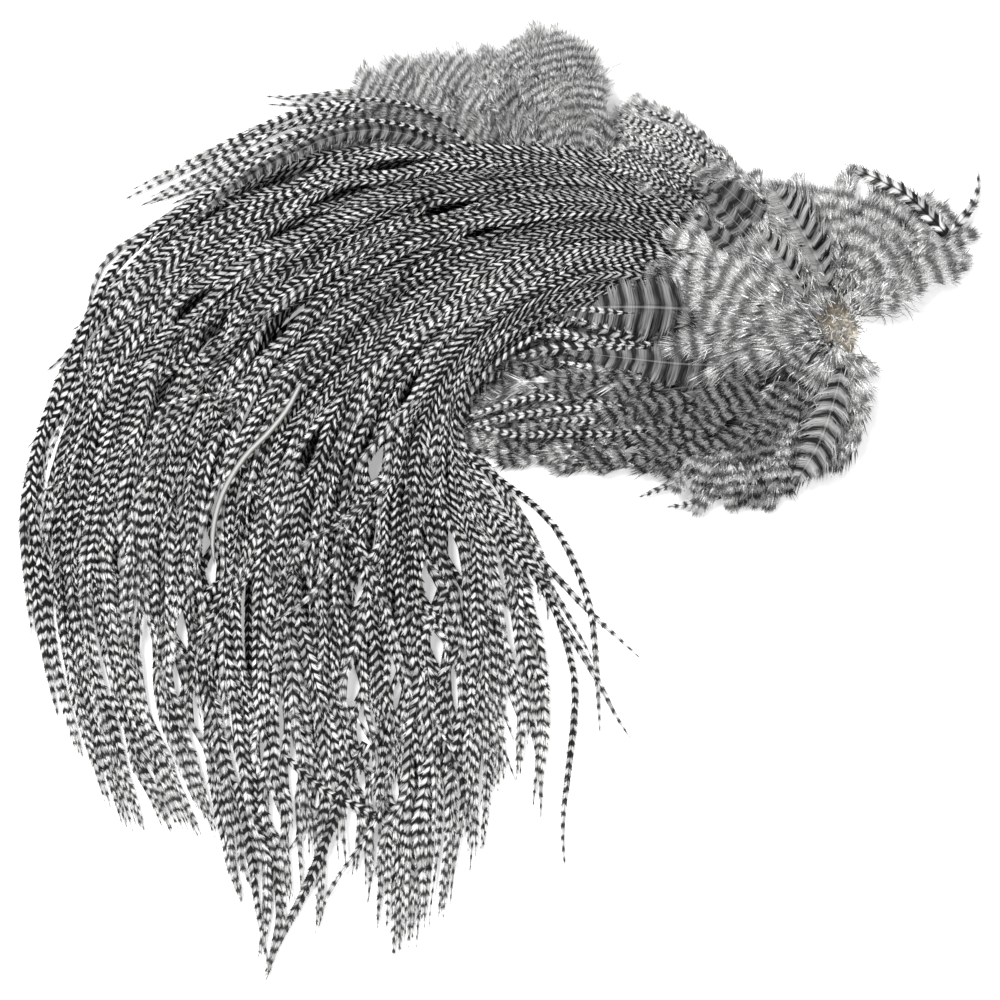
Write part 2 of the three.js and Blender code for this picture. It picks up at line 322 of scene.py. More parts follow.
class Plumage:
    """Collects the faces of many feathers for one mesh."""

    def __init__(self):
        self.points, self.faces, self.maps, self.count = [], [], [], 0

    def add(self, points, faces, uvs):
        self.points.append(points.reshape(-1, 3))
        self.faces.append(faces.reshape(-1, 3) + self.count)
        self.maps.append(uvs.reshape(-1, 2))
        self.count += len(self.points[-1])

    def build(self, name, material, slot, nodes=()):
        points = np.vstack(self.points)
        height = points[:, 2]
        pressed = FLOOR_GAP * np.exp(np.minimum(height - FLOOR_GAP, 0))
        points[:, 2] = np.where(height < FLOOR_GAP, pressed, height)
        points *= MM
        faces = np.vstack(self.faces)
        uvs = np.vstack(self.maps)
        mesh = bpy.data.meshes.new(name)
        mesh.vertices.add(len(points))
        mesh.vertices.foreach_set("co", points.astype(np.float32).ravel())
        mesh.loops.add(faces.size)
        mesh.loops.foreach_set("vertex_index", faces.astype(np.int32).ravel())
        mesh.polygons.add(len(faces))
        mesh.polygons.foreach_set("loop_start", np.arange(0, faces.size, 3, dtype=np.int32))
        layer = mesh.uv_layers.new(name="OFBake")
        layer.uv.foreach_set("vector", uvs.astype(np.float32).ravel())
        mesh.update(calc_edges=True)
        finish_piece(name, mesh, material, nodes)


def map_faces(bars, sides, columns, longest=2):
    """UVs of some faces: bars and sides are per corner, and each face keeps within the rows."""
    period = BAR_ROWS - longest
    turns = np.floor(bars.min(axis=1, keepdims=True) / period) * period
    rows = (bars - turns + 0.5) / BAR_ROWS
    across = (columns[:, None] + 0.5 + 0.5 * COLUMN_FILL * np.clip(sides, -1, 1)) / KINDS
    return np.stack([across, np.clip(rows, 0, 1)], axis=-1)


@dataclasses.dataclass
class Kind:
    """The make of a feather. Lengths are millimetres, lead is how far a barb runs towards the tip
    for its reach to the side, and pitches are the bars' spacings at distances from the tip. The
    vane has body_share of its width where it is farther from the tip than the locks' loose ends,
    and nearer the tip than each of grade_ends it is a grade paler."""

    width: float
    barb_step: float
    lead: tuple = (0.88, 0.6)
    lead_change: tuple = (5, 30)
    root_share: float = 0.8
    root_ramp: float = 30
    tip_ramp: float = 26
    tip_power: float = 0.55
    body_share: float = 1
    roof: float = 0.55
    core_share: float = 0.8
    core_step: float = 8
    blunt: float = 0.72
    ragged: float = 0.12
    splay: float = 0.15
    wave: float = 0
    elbow: float = 0
    overlap: float = 1.12
    grade_ends: tuple = (75, 25)
    pitch: tuple = ((0, 3.1), (8, 3.6), (22, 3.7), (45, 3.2), (70, 2.95), (110, 2.8), (150, 2.65),
                    (400, 2.6))
    root_pitch: float = 0
    root_pitch_ends: tuple = (0, 1)

    def sized(self, width, spacing=1):
        pitch = [(reach, value * spacing) for reach, value in self.pitch]
        return dataclasses.replace(self, width=width, pitch=pitch)

    def varied(self):
        """One of the same make, a little wider or narrower and with its own spacing of bars."""
        width = self.width * np.clip(chance.normal(1, 0.24), 0.5, 1.5)
        return self.sized(width, chance.normal(1, 0.045))

    def spacing_at(self, distance):
        return np.interp(distance, *np.array(self.pitch, float).T)


def bars_within(kind, distance):
    """How many bars lie within a distance of the tip."""
    return distance * np.mean(1 / kind.spacing_at(np.linspace(0, distance, 60)))


def bar_counts(line, kind, first):
    """The count of cross bars, as a function of the reach along the feather."""
    reach = np.linspace(-20, line.length + 12, 300)
    near_butt = smooth(line.from_butt(reach), *kind.root_pitch_ends)
    spacing = np.maximum(kind.spacing_at(line.length - reach), lerp(kind.root_pitch, 0, near_butt))
    counts = np.concatenate([[0], np.cumsum(np.diff(reach) / spacing[1:])])
    counts += 2 * FIRST_BAR + first - np.interp(line.length, reach, counts)
    return lambda s: np.interp(s, reach, counts)


def half_width(line, kind, reach):
    """Half the vane's width at each reach from the root."""
    rise = lerp(kind.root_share, 1, smooth(reach, 0, kind.root_ramp))
    fall = np.clip((line.length - reach) / kind.tip_ramp, 0, 1) ** kind.tip_power
    body = lerp(1, kind.body_share, smooth(line.length - reach, *BODY_ENDS))
    return 0.5 * kind.width * rise * fall * body


def barb_lead(line, kind, reach):
    """How far barbs run towards the tip for their reach to the side."""
    rest = line.length - reach
    lead = lerp(kind.lead[1], kind.lead[0], smooth(rest, *kind.lead_change))
    return lead + 1.05 * smooth(rest, 60, 230)


def grade_columns(line, kind, reach, luck):
    """Columns of the map: the grade goes from body to tip, with the change spread over some barbs."""
    rest = line.length - reach + chance.normal(0, 9, len(reach))
    grade = (rest < kind.grade_ends[0]).astype(int) + (rest < kind.grade_ends[1])
    return grade * LUCKS + luck


def add_core(plumage, line, kind, luck, counts):
    """A closed slim core: rings of left edge, ridge, right edge and underside, down to the tip."""
    rings = max(5, int(line.length / kind.core_step))
    reach = np.linspace(0, line.length, rings + 1)[:-1]
    half = half_width(line, kind, reach)
    edge = kind.core_share * half
    zero = np.zeros(rings)
    across = np.stack([-edge, zero, edge, zero], axis=1)
    under = -0.5 * kind.roof * edge - CORE_DEPTH
    rise = np.stack([-kind.roof * edge, zero, -kind.roof * edge, under], axis=1)
    points = line.at(np.repeat(reach[:, None], 4, axis=1), across, rise)
    tip = line.at(np.array([line.length]), np.zeros(1), np.zeros(1))
    start = np.arange(rings - 1)[:, None] * 4
    corner = np.arange(4)[None, :]
    after = (corner + 1) % 4
    quads = np.stack([start + corner, start + after, start + 4 + after, start + 4 + corner], axis=-1)
    quads = quads.reshape(-1, 4)
    last = (rings - 1) * 4
    faces = np.vstack([
        quads[:, [0, 1, 2]], quads[:, [0, 2, 3]],
        np.stack([last + corner[0], last + after[0], np.full(4, rings * 4)], axis=1),
        [[0, 2, 1], [0, 3, 2]],
    ])
    share = np.append((across / np.maximum(half, 0.05)[:, None]).ravel(), 0)
    root = reach[:, None] - barb_lead(line, kind, reach)[:, None] * np.abs(across)
    root = np.append(root.ravel(), line.length)
    columns = grade_columns(line, kind, np.append(np.repeat(reach, 4), line.length), luck)
    points = np.vstack([points.reshape(-1, 3), tip])
    plumage.add(points, faces, map_faces(counts(root)[faces], share[faces], columns[faces[:, 0]]))


def add_barbs(plumage, line, kind, luck, counts):
    """Two rows of barbs over the core, each a blade that slants towards the tip and ends in a point.
    With an elbow it leaves the shaft steeply and then bends over."""
    count = max(6, int((line.length - 1) / kind.barb_step))
    root = np.linspace(0.5, line.length - 0.6, count)
    step = kind.barb_step * kind.overlap
    lead = barb_lead(line, kind, root)
    half = half_width(line, kind, root)
    knots = 9 + int(line.length / 9)
    middle = kind.blunt * (1 - kind.elbow)
    for side in (-1, 1):
        jitter = chance.normal(0, 1, (3, count))
        clump = np.interp(root, np.linspace(0, line.length, knots), chance.normal(0, 1, knots))
        size = np.maximum(half * (1 + kind.ragged * (jitter[0] + kind.wave * clump)), 0.12)
        sweep = lead * (1 + kind.splay * (0.5 * jitter[1] + kind.wave * clump)) * size
        near = 0.1 * half
        drop = (0.08 * jitter[2] - kind.roof) * size
        bend = root + step * (1 - kind.elbow) + sweep
        reach = [root, root + step, bend, root + 0.2 * step + sweep * middle]
        across = [near, near, size, size * kind.blunt]
        inner = 0.05 - near * kind.roof
        level = [inner, inner, drop + 0.05, drop * kind.blunt + 0.07]
        order = [[0, 3, 2], [0, 2, 1]]
        if kind.elbow:
            reach.append(root + 1.1 * step + sweep * middle)
            across.append(across[3])
            level.append(level[3])
            order = [[0, 3, 4], [0, 4, 1], [3, 2, 4]]
        order = np.array(order)
        if side < 0:
            order = order[:, [0, 2, 1]]
        across = np.stack(across) * side
        points = line.at(np.stack(reach), across, np.stack(level)).transpose(1, 0, 2)
        faces = (np.arange(count)[:, None, None] * len(reach) + order[None]).reshape(-1, 3)
        share = (across / np.maximum(half, 0.1)).T[:, order]
        foot = root[:, None] + step * np.array([0, 1, 1, 0, 1])[:len(reach)]
        columns = np.repeat(grade_columns(line, kind, root, luck), len(order))
        bars = counts(foot)[:, order]
        plumage.add(points, faces, map_faces(bars.reshape(-1, 3), share.reshape(-1, 3), columns))


def add_feather(plumage, line, kind, first=None, luck=None):
    first = chance.uniform(0, 6) if first is None else first
    luck = chance.integers(LUCKS) if luck is None else luck
    counts = bar_counts(line, kind, first)
    add_core(plumage, line, kind, luck, counts)
    add_barbs(plumage, line, kind, luck, counts)


def add_sprays(plumage, field, height, lanes, rows, level, length, grade, phase, pitch,
               hairs=220, spread=0.3, width=0.3, stray=0.16, centre=BUTT):
    """Downy feathers, one for each lane and row of the field: fine hairs that leave a short shaft to
    both sides, with bars that are rings about a centre."""
    root = field.place(lanes, rows)
    heading = (field.heading(lanes, rows) + chance.normal(0, stray, len(lanes)))[:, None]
    turn = chance.uniform(-1, 1, (len(lanes), hairs))
    away = heading + turn * spread + chance.normal(0, 0.1, turn.shape)
    reach = length[:, None] * (1 - 0.3 * turn ** 2) * (1 + chance.normal(0, 0.15, turn.shape))
    foot = reach * chance.uniform(0, 0.65, turn.shape)
    start, end = toward(heading, foot), toward(away, reach)
    run = end - start
    run /= np.linalg.norm(run, axis=-1)[..., None]
    half = 0.5 * width * chance.uniform(0.4, 1.9, turn.shape)[..., None] * left_of(run)
    shift = FIRST_BAR + phase[:, None] + chance.normal(0, 0.07, turn.shape)
    knots, bars = [], []
    for place, drop in ((start, 0), (end, -0.1)):
        along = rows[:, None] + np.linalg.norm(place, axis=-1) / field.lengths.mean()
        spot = root[:, None] + place
        lift = body_height(field, np.repeat(lanes, hairs), along.ravel(), height)
        rise = ground(spot.reshape(-1, 2)) + 0.3 + lift * np.repeat(level, hairs)
        rise = rise.reshape(turn.shape) + drop + chance.normal(0, 0.25, turn.shape)
        knots.append(np.concatenate([spot, rise[..., None]], axis=-1))
        bars.append(np.linalg.norm(spot - centre, axis=-1) / pitch + shift)
    flat = np.concatenate([half, np.zeros(half.shape[:-1] + (1,))], axis=-1)
    points = np.stack([knots[0] + flat, knots[0] - flat, knots[1]], axis=-2).reshape(-1, 3, 3)
    faces = np.arange(points.size // 3).reshape(-1, 3)
    bars = np.stack([bars[0], bars[0], bars[1]], axis=-1).reshape(-1, 3)
    share = np.broadcast_to([0.1, 0.1, 1], bars.shape)
    columns = np.repeat(grade, hairs) * LUCKS + chance.integers(0, LUCKS, len(points))
    plumage.add(points, faces, map_faces(bars, share, columns, 7))


def add_wisps(plumage, roots, headings, lengths, heights, grade, width=0.35, curl=1.1, end=0.8):
    """Long loose hairs that wave and curl, from a height down to the end height."""
    knots = 7
    along = np.linspace(0, 1, knots)
    first = np.arange(knots - 1)
    faces = np.vstack([np.stack([first, first + knots, first + 1], axis=1),
                       np.stack([first + 1, first + knots, first + knots + 1], axis=1)[:-1]])
    for root, heading, length, height in zip(roots, headings, lengths, heights):
        turns = heading + chance.normal(0, curl) * along
        turns += 0.36 * curl * np.sin(along * 5 + chance.uniform(0, FULL_TURN))
        ahead = toward(turns)
        plan = root + np.cumsum(ahead * length / knots, axis=0)
        rise = ground(plan) + lerp(height, end, smooth(along, 0.1, 1)) + 0.5 * np.sin(along * 6)
        half = 0.5 * width * (1 - along[:, None]) * left_of(ahead)
        points = np.vstack([np.column_stack([plan + half, rise]), np.column_stack([plan - half, rise])])
        bars = FIRST_BAR + np.tile(along, 2) * length / WISP_SPACING + chance.uniform(0, 1)
        column = np.full(len(faces), grade * LUCKS + chance.integers(LUCKS))
        plumage.add(points, faces, map_faces(bars[faces], np.full(faces.shape, 0.6), column))


# The curl of long hackles

def rooted(path):
    """The path with its start run back towards the butt, under the fan's feathers."""
    root = np.array(path[0], float)
    return [lerp(root, BUTT, 0.8), lerp(root, BUTT, 0.42)] + path


SWEEP = Field([rooted(path) for path in SWEEP_PATHS])
ROOT_SHARE = 0.11
SWEEP_LOCKS = 32
# The locks that the hackles gather into: each one's place across the curl and its tip's reach
LOCKS = np.array([
    [0, 0.97], [0.018, 0.98], [0.05, 0.99], [0.085, 1], [0.125, 1], [0.147, 1], [0.2, 1],
    [0.225, 1], [0.25, 1], [0.3, 0.95], [0.335, 0.96], [0.372, 1], [0.42, 0.96], [0.455, 1],
    [0.49, 1], [0.52, 0.93], [0.55, 0.935], [0.573, 0.915], [0.618, 1], [0.655, 0.895], [0.67, 0.94],
    [0.7, 0.97], [0.715, 0.98], [0.73, 1], [0.747, 1], [0.775, 1], [0.8, 1], [0.826, 1],
    [0.858, 0.95], [0.873, 1], [0.906, 0.91], [0.94, 0.93], [0.97, 0.89], [1, 0.99],
])
LOCK_WAVES = chance.normal(0, 1, (len(LOCKS), 3))
# Partings between hackles through which the surface shows: x, y, half length and half width
PARTINGS = [
    [-39.3, 8, 5.4, 1.7], [-49.5, -7.5, 2.7, 1], [-15.3, -17.4, 10, 2.1], [-22.4, -28.2, 9, 1.9],
    [-20, -45.3, 9, 1.9], [-115.8, -19.5, 5, 1], [-87, -22.5, 7.5, 1.1], [-98.1, -54.9, 9, 1.4],
    [-91.4, -67, 7, 1.3], [-46.2, -58, 8, 1.7], [-42.4, -76, 9, 1.8], [-69, -95.4, 8, 1.8],
    [-56.1, -92.4, 6, 1.2], [2.4, -65, 8, 1.2], [-106.5, -80.4, 6, 1.3], [-76.5, -110.4, 6, 1.3],
    [-39.6, -13, 4, 0.8], [-47.5, -29.2, 4, 0.8],
    [-106.8, -45, 6, 0.9], [-97.5, -39.9, 6, 1], [-42.9, -83, 7, 1.3],
    [-72.1, -77.6, 7, 1.1], [-63.8, -83.3, 7, 1.2], [-32.7, -59.6, 6.5, 1.3], [-32.7, -89.4, 7, 1.5],
]
# Ends of grades for a feather that is of the darkest grade, or of the one its column says, all over
DARKEST = (-99, -99)
LONG_HACKLE = dict(body_share=0.86, root_pitch=5.8, root_pitch_ends=(35, 90), tip_ramp=31)
# Partings of the upper hackles alone, over the shaded ones beneath
DARK_PARTINGS = [
    [-90, 47.1, 9, 2.2], [-102, 32, 9, 2.6], [-69, 50.1, 10, 1.6], [-70.5, 96, 16, 1.8],
    [-96, 56, 8, 1.4], [-30, 30, 9, 1.2], [-60, 10, 10, 1.3], [-22.5, 86.1, 9, 1.2],
    [-52.5, 90.6, 10, 1.4], [-67.5, 80, 10, 1.3], [-10.5, 78.6, 8, 1], [-37.5, 99.6, 10, 1],
]
TOP_HACKLE = Kind(width=2.75, barb_step=0.8, **LONG_HACKLE)
MIDDLE_HACKLE = Kind(width=2.75, barb_step=1.2, **LONG_HACKLE)
LOW_HACKLE = Kind(width=2.8, barb_step=2, core_step=10, **LONG_HACKLE)
UNDER_HACKLE = Kind(width=6.5, barb_step=2.4, core_step=9, core_share=0.9, grade_ends=DARKEST)
# Layers of hackles, lowest first: count, share of the pile's height, how much shorter some are, make
SWEEP_LAYERS = [
    (64, (0, 0.12), 0, UNDER_HACKLE),
    (70, (0.12, 0.4), 0.08, LOW_HACKLE),
    (90, (0.4, 0.75), 0.2, MIDDLE_HACKLE),
    (145, (0.75, 1), 0.34, TOP_HACKLE),
]
HACKLE_STEPS = 90
CROSSING_HACKLES = 90
# A few that lie right across the others
CROSSING = [
    [[-30, 8], [-40, 0.6], [-49.5, -6.9], [-61.5, -13.8], [-67, -23]],
    [[-58, 44], [-72, 37], [-84, 32], [-93, 31], [-103, 28.5]],
    [[-38, 2], [-48, -8], [-52, -20], [-60, -30], [-70, -36]],
    [[-76, 36], [-66, 18], [-50, -4], [-36, -30], [-28, -58]],
    [[-60, 48], [-44, 30], [-30, 8], [-18, -20], [-10, -48]],
    [[-92, 44], [-84, 22], [-72, -4], [-66, -34], [-58, -62]],
]
CURL_PIECES = ["curl_outer", "curl_upper", "curl_lower", "curl_inner"]


def part(places, level):
    """Moves a hackle aside where it comes by a parting, so that the slit between is a long wedge."""
    for x, y, reach, half in PARTINGS + (DARK_PARTINGS if level > 0.45 else []):
        away = places - (x, y)
        nearest = np.argmin((away ** 2).sum(axis=1))
        if not 0 < nearest < len(places) - 1:
            continue
        ahead = places[nearest + 1] - places[nearest - 1]
        ahead /= np.linalg.norm(ahead)
        beside = left_of(ahead)
        gap = away[nearest] @ beside
        along = away @ ahead + 0.3 * reach
        wedge = np.clip(1 - np.where(along > 0, along / (1.1 * reach), -along / (1.9 * reach)), 0, 1)
        push = (half + 1.4) * math.exp(-abs(gap) / (4 * half)) * wedge
        places = places + math.copysign(1, gap) * push[:, None] * beside
    return places


def curl_height(across, along):
    """The height of the curl's pile, the highest midway between its edges."""
    crown = lerp(SWEEP_EDGE_HEIGHT, 1, np.sin(math.pi * np.clip(across, 0, 1)))
    return SWEEP_HEIGHT * crown * pile((along - ROOT_SHARE) / (1 - ROOT_SHARE), SWEEP_PROFILE)


def hackle_line(run, along, level):
    """The line of a hackle of the curl, moved aside at partings and twisted about itself."""
    places = part(SWEEP.place(run, along), level)
    ripple = np.sin(along * 14 + chance.uniform(0, FULL_TURN))
    heights = curl_height(run, along) * level + 0.6 + 0.3 * ripple
    twist = 0.7 if chance.uniform() < 0.3 else 0.3
    lean = chance.normal(0, 0.4)
    roll = lean + twist * np.sin(along * chance.uniform(5, 12) + chance.uniform(0, FULL_TURN))
    roll += chance.choice([-0.5, 0.5]) * (1 - smooth(along, 0.3, 0.7))
    return Line(places, ground(places) + heights, roll * (1 - 0.6 * smooth(along, 0.75, 0.95)))


def gathered_run(across, which, along):
    """A hackle's way across the curl: it gathers into its lock, and the lock itself wanders."""
    waves = LOCK_WAVES[which]
    middle = LOCKS[which][0] + chance.normal(0, 0.007)
    gather = chance.uniform(0.55, 0.95) * smooth(along, 0.35, 0.97)
    inner = smooth(along, 0.1, 0.25) * lerp(0.4, 1, smooth(along, 0.35, 0.55))
    inner *= 1 - smooth(along, 0.75, 1)
    own = np.sin(math.pi * chance.uniform(4, 9) * along + chance.uniform(0, FULL_TURN))
    shared = np.sin(math.pi * (4.2 + 0.8 * waves[1]) * along + 3 * waves[2])
    wander = (0.022 * waves[0] * shared + chance.normal(0, 0.019) * own) * inner
    return np.clip(lerp(across, middle, gather) + wander, -0.01, 1.01)


def tip_bars(across, end, kind):
    """Bars at a tip, so that the bars of hackles that lie side by side nearly line up."""
    length = np.interp(np.clip(across, 0, 1), np.linspace(0, 1, len(SWEEP.lengths)), SWEEP.lengths)
    return -bars_within(kind, (1 - end) * length)


def make_curl(material):
    plumages = [Plumage() for _ in CURL_PIECES]

    def add(across, run, along, level, kind):
        kind = kind.varied()
        short = lerp(0.45, 1, smooth(across, 0, 0.25))
        kind.grade_ends = [reach * short for reach in kind.grade_ends]
        first = tip_bars(run[-1], along[-1], kind) + chance.normal(0, 0.27)
        piece = min(int(across * len(CURL_PIECES)), len(CURL_PIECES) - 1)
        add_feather(plumages[piece], hackle_line(run, along, level), kind, first)

    for count, heights, shorter, kind in SWEEP_LAYERS:
        slots = (np.arange(count) + chance.uniform(0, 1, count)) / count
        levels = lerp(*heights, chance.permutation(count) / count)
        for across, level in zip(slots, levels):
            which = np.argmin(np.abs(LOCKS[:, 0] - across - chance.normal(0, 0.012)))
            end = LOCKS[which][1] * (1 - shorter * chance.uniform() ** 2.4)
            if kind is UNDER_HACKLE:
                end = chance.uniform(0.46, 0.6)
            along = np.linspace(chance.uniform(0, 0.13), end, HACKLE_STEPS)
            add(across, gathered_run(across, which, along), along, level, kind)
    for _ in range(CROSSING_HACKLES):
        across = chance.uniform(0.05, 0.95)
        turn = chance.uniform(0.25, 0.62)
        along = np.linspace(max(0.1, turn - 0.2), min(turn + chance.uniform(0.25, 0.5), 0.93), HACKLE_STEPS)
        drift = chance.normal(0, 0.09) * smooth(along, turn, turn + 0.4)
        run = np.clip(across + drift + 0.01 * np.sin(along * 9), 0, 1)
        add(across, run, along, chance.uniform(0.98, 1.06), TOP_HACKLE)
    for path in CROSSING:
        heights = curl_height(0.5, np.full(60, 0.62)) + 1.5
        line = Line(spline(path, 60), heights, chance.normal(0, 0.3))
        add_feather(plumages[2], line, TOP_HACKLE.sized(2.3))
    locks = SWEEP_LOCKS // len(CURL_PIECES)
    for number, (name, plumage) in enumerate(zip(CURL_PIECES, plumages)):
        nodes = numbered("hackle_lock", number * locks + 1, (number + 1) * locks)
        plumage.build(name, material, "barred_hackle", nodes)


# Body feathers

FAN = Field(FAN_PATHS, FAN_HEIGHT)
CREST = Field(CREST_PATHS, CREST_HEIGHT)
TUFT = Field(TUFT_PATHS, TUFT_HEIGHT)
INNER = Field(INNER_PATHS, INNER_HEIGHT)
SKIRT = Field(SKIRT_PATHS, FAN_HEIGHT)
ARCH_FLUFF = Field(ARCH_FLUFF_PATHS, ARCH_FLUFF_HEIGHT)
# Centres of rings of bars, middles of the dark and pale patches, and the bare spot of skin
SKIRT_CENTRE = (76, 62)
TUFT_CENTRE = (22, 99)
DARK_MIDDLE = (60, 27)
PALE_MIDDLE = (78, 68)
BARE_SPOT = np.array([99.5, 52])
BARE_REACH = 4.6

# The lower layer, that shows between the hairs over it
UNDER = Kind(width=9, barb_step=1.1, lead=(1.4, 1.4), root_share=0.7, root_ramp=8, tip_ramp=9,
             tip_power=0.5, roof=0.25, core_share=0.7, blunt=0.5, ragged=0.22, splay=0.3, wave=0.6,
             core_step=4, grade_ends=DARKEST, pitch=((0, 5.8), (9, 5.8)))
WEBBY = Kind(width=13, barb_step=0.3, lead=(0.22, 0.45), lead_change=(5, 25), root_share=0.6,
             root_ramp=12, tip_ramp=34, tip_power=0.75, roof=0.16, core_share=0.3, blunt=0.62,
             ragged=0.1, splay=0.25, wave=0.5, elbow=0.35, overlap=2.6, core_step=4,
             grade_ends=DARKEST, pitch=((0, 3.7), (14, 4), (30, 5.6), (60, 5.8)))
SMALL_HACKLE = Kind(width=2.1, barb_step=0.6, root_ramp=10, tip_ramp=12, core_step=5,
                    grade_ends=(60, 12), pitch=((0, 2.7), (20, 2.8), (50, 3)))
CREST_HACKLE = Kind(width=2, barb_step=0.6, root_ramp=10, tip_ramp=12, core_step=5,
                    grade_ends=(60, 4), pitch=((0, 2.2), (20, 2.2), (50, 2.4)))
FLANK_HACKLE = Kind(width=4.4, barb_step=0.45, lead=(0.75, 0.8), root_share=1.5, root_ramp=24,
                    tip_ramp=16, core_step=4, ragged=0.14, splay=0.25, wave=0.4, grade_ends=(999, 6),
                    pitch=((0, 3), (10, 3.4), (25, 4), (40, 5)))
BOLD = Kind(width=6, barb_step=0.28, lead=(0.8, 0.8), root_share=0.35, root_ramp=11, tip_ramp=9,
            roof=0.2, core_share=0.4, blunt=0.66, ragged=0.16, splay=0.3, wave=0.5, elbow=0.5,
            overlap=2.6, core_step=3, grade_ends=DARKEST, pitch=((0, 3.6), (50, 3.9)))

# Large feathers that lie on top: path, width, heights of root, middle and tip, and for the bold ones
# the spacing of bars, tilt and grade
WEBBY_FEATHERS = [
    [[[85.5, 60.6], [75, 69.6], [64.5, 78.6], [55.5, 86.1]], 12, (5, 9.3, 10.5)],
    [[[82, 80], [71, 89], [61, 97], [49, 102]], 10, (4.5, 8, 8)],
    [[[84, 66], [74, 77], [66, 86], [57, 95]], 12, (4.5, 8.8, 10)],
    [[[79.5, 42], [66, 41], [52.5, 41], [38, 42.5], [18, 45]], 14, (5, 11.4, 8.5)],
    [[[81, 55], [67.5, 56.6], [50, 57.5], [30, 57.9], [8, 57]], 18, (5, 12.2, 8)],
]
BOLD_FEATHERS = [
    [[[90, 61.5], [86, 67], [81, 73.5], [76, 80]], 9, (8.5, 11.2, 9.8), 3.6, 0.6, 2],
    [[[96.5, 64], [93, 71.5], [88, 80.5], [80.5, 92.5]], 14, (8.5, 11.4, 9), 3.7, 0.5, 2],
    [[[100.6, 41], [99.6, 36], [97.2, 28], [93.6, 18], [87.5, 7]], 12.5, (7, 9.8, 7.5), 4.6, -0.15, 1],
]
# Chevron feathers and small hackles that point to the curl: path, width, heights
FLANK_FEATHERS = [
    [[[46, 49.5], [40, 49.5], [33, 50.5], [24, 53.3], [16, 56]], 3.6, (9, 11, 9)],
    [[[44, 41.2], [37, 42.5], [28, 45.5], [14, 45.5], [2, 43]], 3.8, (8, 9.5, 6)],
    [[[37, 27.9], [22, 30.5], [7, 31], [-3.6, 27.9], [-10.5, 25.8]], 2.3, (8, 7, 5.5)],
    [[[35.6, 26.4], [24, 28], [12.6, 27], [3.5, 25.8], [-6.3, 23.7], [-11, 22.5]], 2.3, (8, 7, 5.2)],
    [[[42.6, 27], [31.4, 24.3], [20, 24.6], [10.5, 24.3]], 2.3, (8, 7, 5)],
    [[[43.2, 21.6], [31.4, 20.4], [15, 20.4], [3.5, 20.1], [-3.6, 21.6], [-9, 23]], 2.3, (7.5, 6.5, 5)],
    [[[42, 46], [30, 48], [18, 49.5], [8, 49.5]], 2.4, (11, 10, 8)],
    [[[46, 56], [36, 56], [26, 57], [16, 58]], 2.6, (12, 11, 9.5)],
    [[[44, 47], [33, 46], [22, 49], [12, 53]], 2.4, (11, 10, 8.5)],
    [[[50, 36], [38, 36], [26, 40], [16, 42]], 2.2, (9, 8, 6.5)],
    [[[55.5, 8.1], [49.5, 5.1], [40.5, 1.5]], 3.4, (4, 3, 1.5)],
    [[[64.5, 2.1], [57, -0.3], [48.9, -1.5]], 3.4, (4, 3, 1.5)],
]


def fan_lift(across, along):
    """Over the hackles' roots the fan's feathers lie higher."""
    covers = smooth(across, 0.37, 0.44) * (1 - smooth(across, 0.65, 0.72))
    return 3.8 * covers * smooth(along, 0.35, 0.7)


def body_height(field, across, along, height):
    lift = fan_lift(across, along) if field is FAN else 0
    return height * pile(along, BODY_PROFILE) + lift


def add_under_feathers(plumage, field, count, across, length=0.36, width=9, grade=1, rows=(-0.05, 0.7)):
    """Overlapping leaf-shaped feathers, the farthest from the butt first and lowest."""
    kind = UNDER.sized(width)
    share = np.linspace(0, 1, 16)
    for row in np.sort(chance.uniform(0, 1, count))[::-1]:
        start = lerp(*rows, row)
        along = np.linspace(start, min(start + length, 0.96), 16)
        drift = chance.uniform(*across) + chance.normal(0, 0.01) * share
        places = field.place(drift, along)
        level = lerp(0.75, 0.45, row) * smooth(share, -0.6, 0.6)
        heights = ground(places) + 0.4 + body_height(field, drift, along, field.height) * level
        line = Line(places, heights, chance.normal(0, 0.15))
        add_feather(plumage, line, kind, None, grade * LUCKS + chance.integers(LUCKS))


def scatter_sprays(plumage, field, count, lanes, rows, grades, length, pitch,
                   height=None, level=(0.7, 1.02), jitter=0.09, **make):
    """Downy feathers scattered over a patch, those nearer the roots higher."""
    lane = chance.uniform(*lanes, count)
    share = np.sort(chance.uniform(0, 1, count) ** 0.8)[::-1]
    row = lerp(*rows, share)
    place = field.place(lane, row)
    dark, light = grades(place)
    draw = chance.uniform(0, 1, count)
    grade = np.where(draw < dark, 0, np.where(draw > 1 - light, 2, 1))
    sizes = chance.uniform(*length, count)
    levels = lerp(level[1], level[0], share) + chance.uniform(-0.06, 0.06, count)
    heading = field.heading(lane, row)
    ahead = toward(heading)
    nearest = np.clip(((BARE_SPOT - place) * ahead).sum(axis=1), 0, sizes)
    clear = BARE_REACH * chance.uniform(0.45, 1.3, count)
    kept = np.linalg.norm(place + ahead * nearest[:, None] - BARE_SPOT, axis=1) > clear
    phase = swirl(place) * 5.4 / pitch + chance.normal(0, jitter, count)
    chosen = (values[kept] for values in (lane, row, levels, sizes, grade, phase))
    add_sprays(plumage, field, height or field.height, *chosen, pitch, **make)


def swirl(place):
    """How far the bars of downy feathers run ahead of even rings at each place."""
    x, y = place.T
    return 0.5 * np.sin(x / 6.1 + 1.2 * np.sin(y / 7.7)) + 0.4 * np.sin(y / 4.9 + 1.7 * np.sin(x / 8.3))


# The dark and the light share of the downy feathers at each place

def far_from(place, centre, low, high):
    return smooth(np.linalg.norm(place - centre, axis=1), low, high)


def even_grades(dark, light):
    return lambda place: (dark, light)


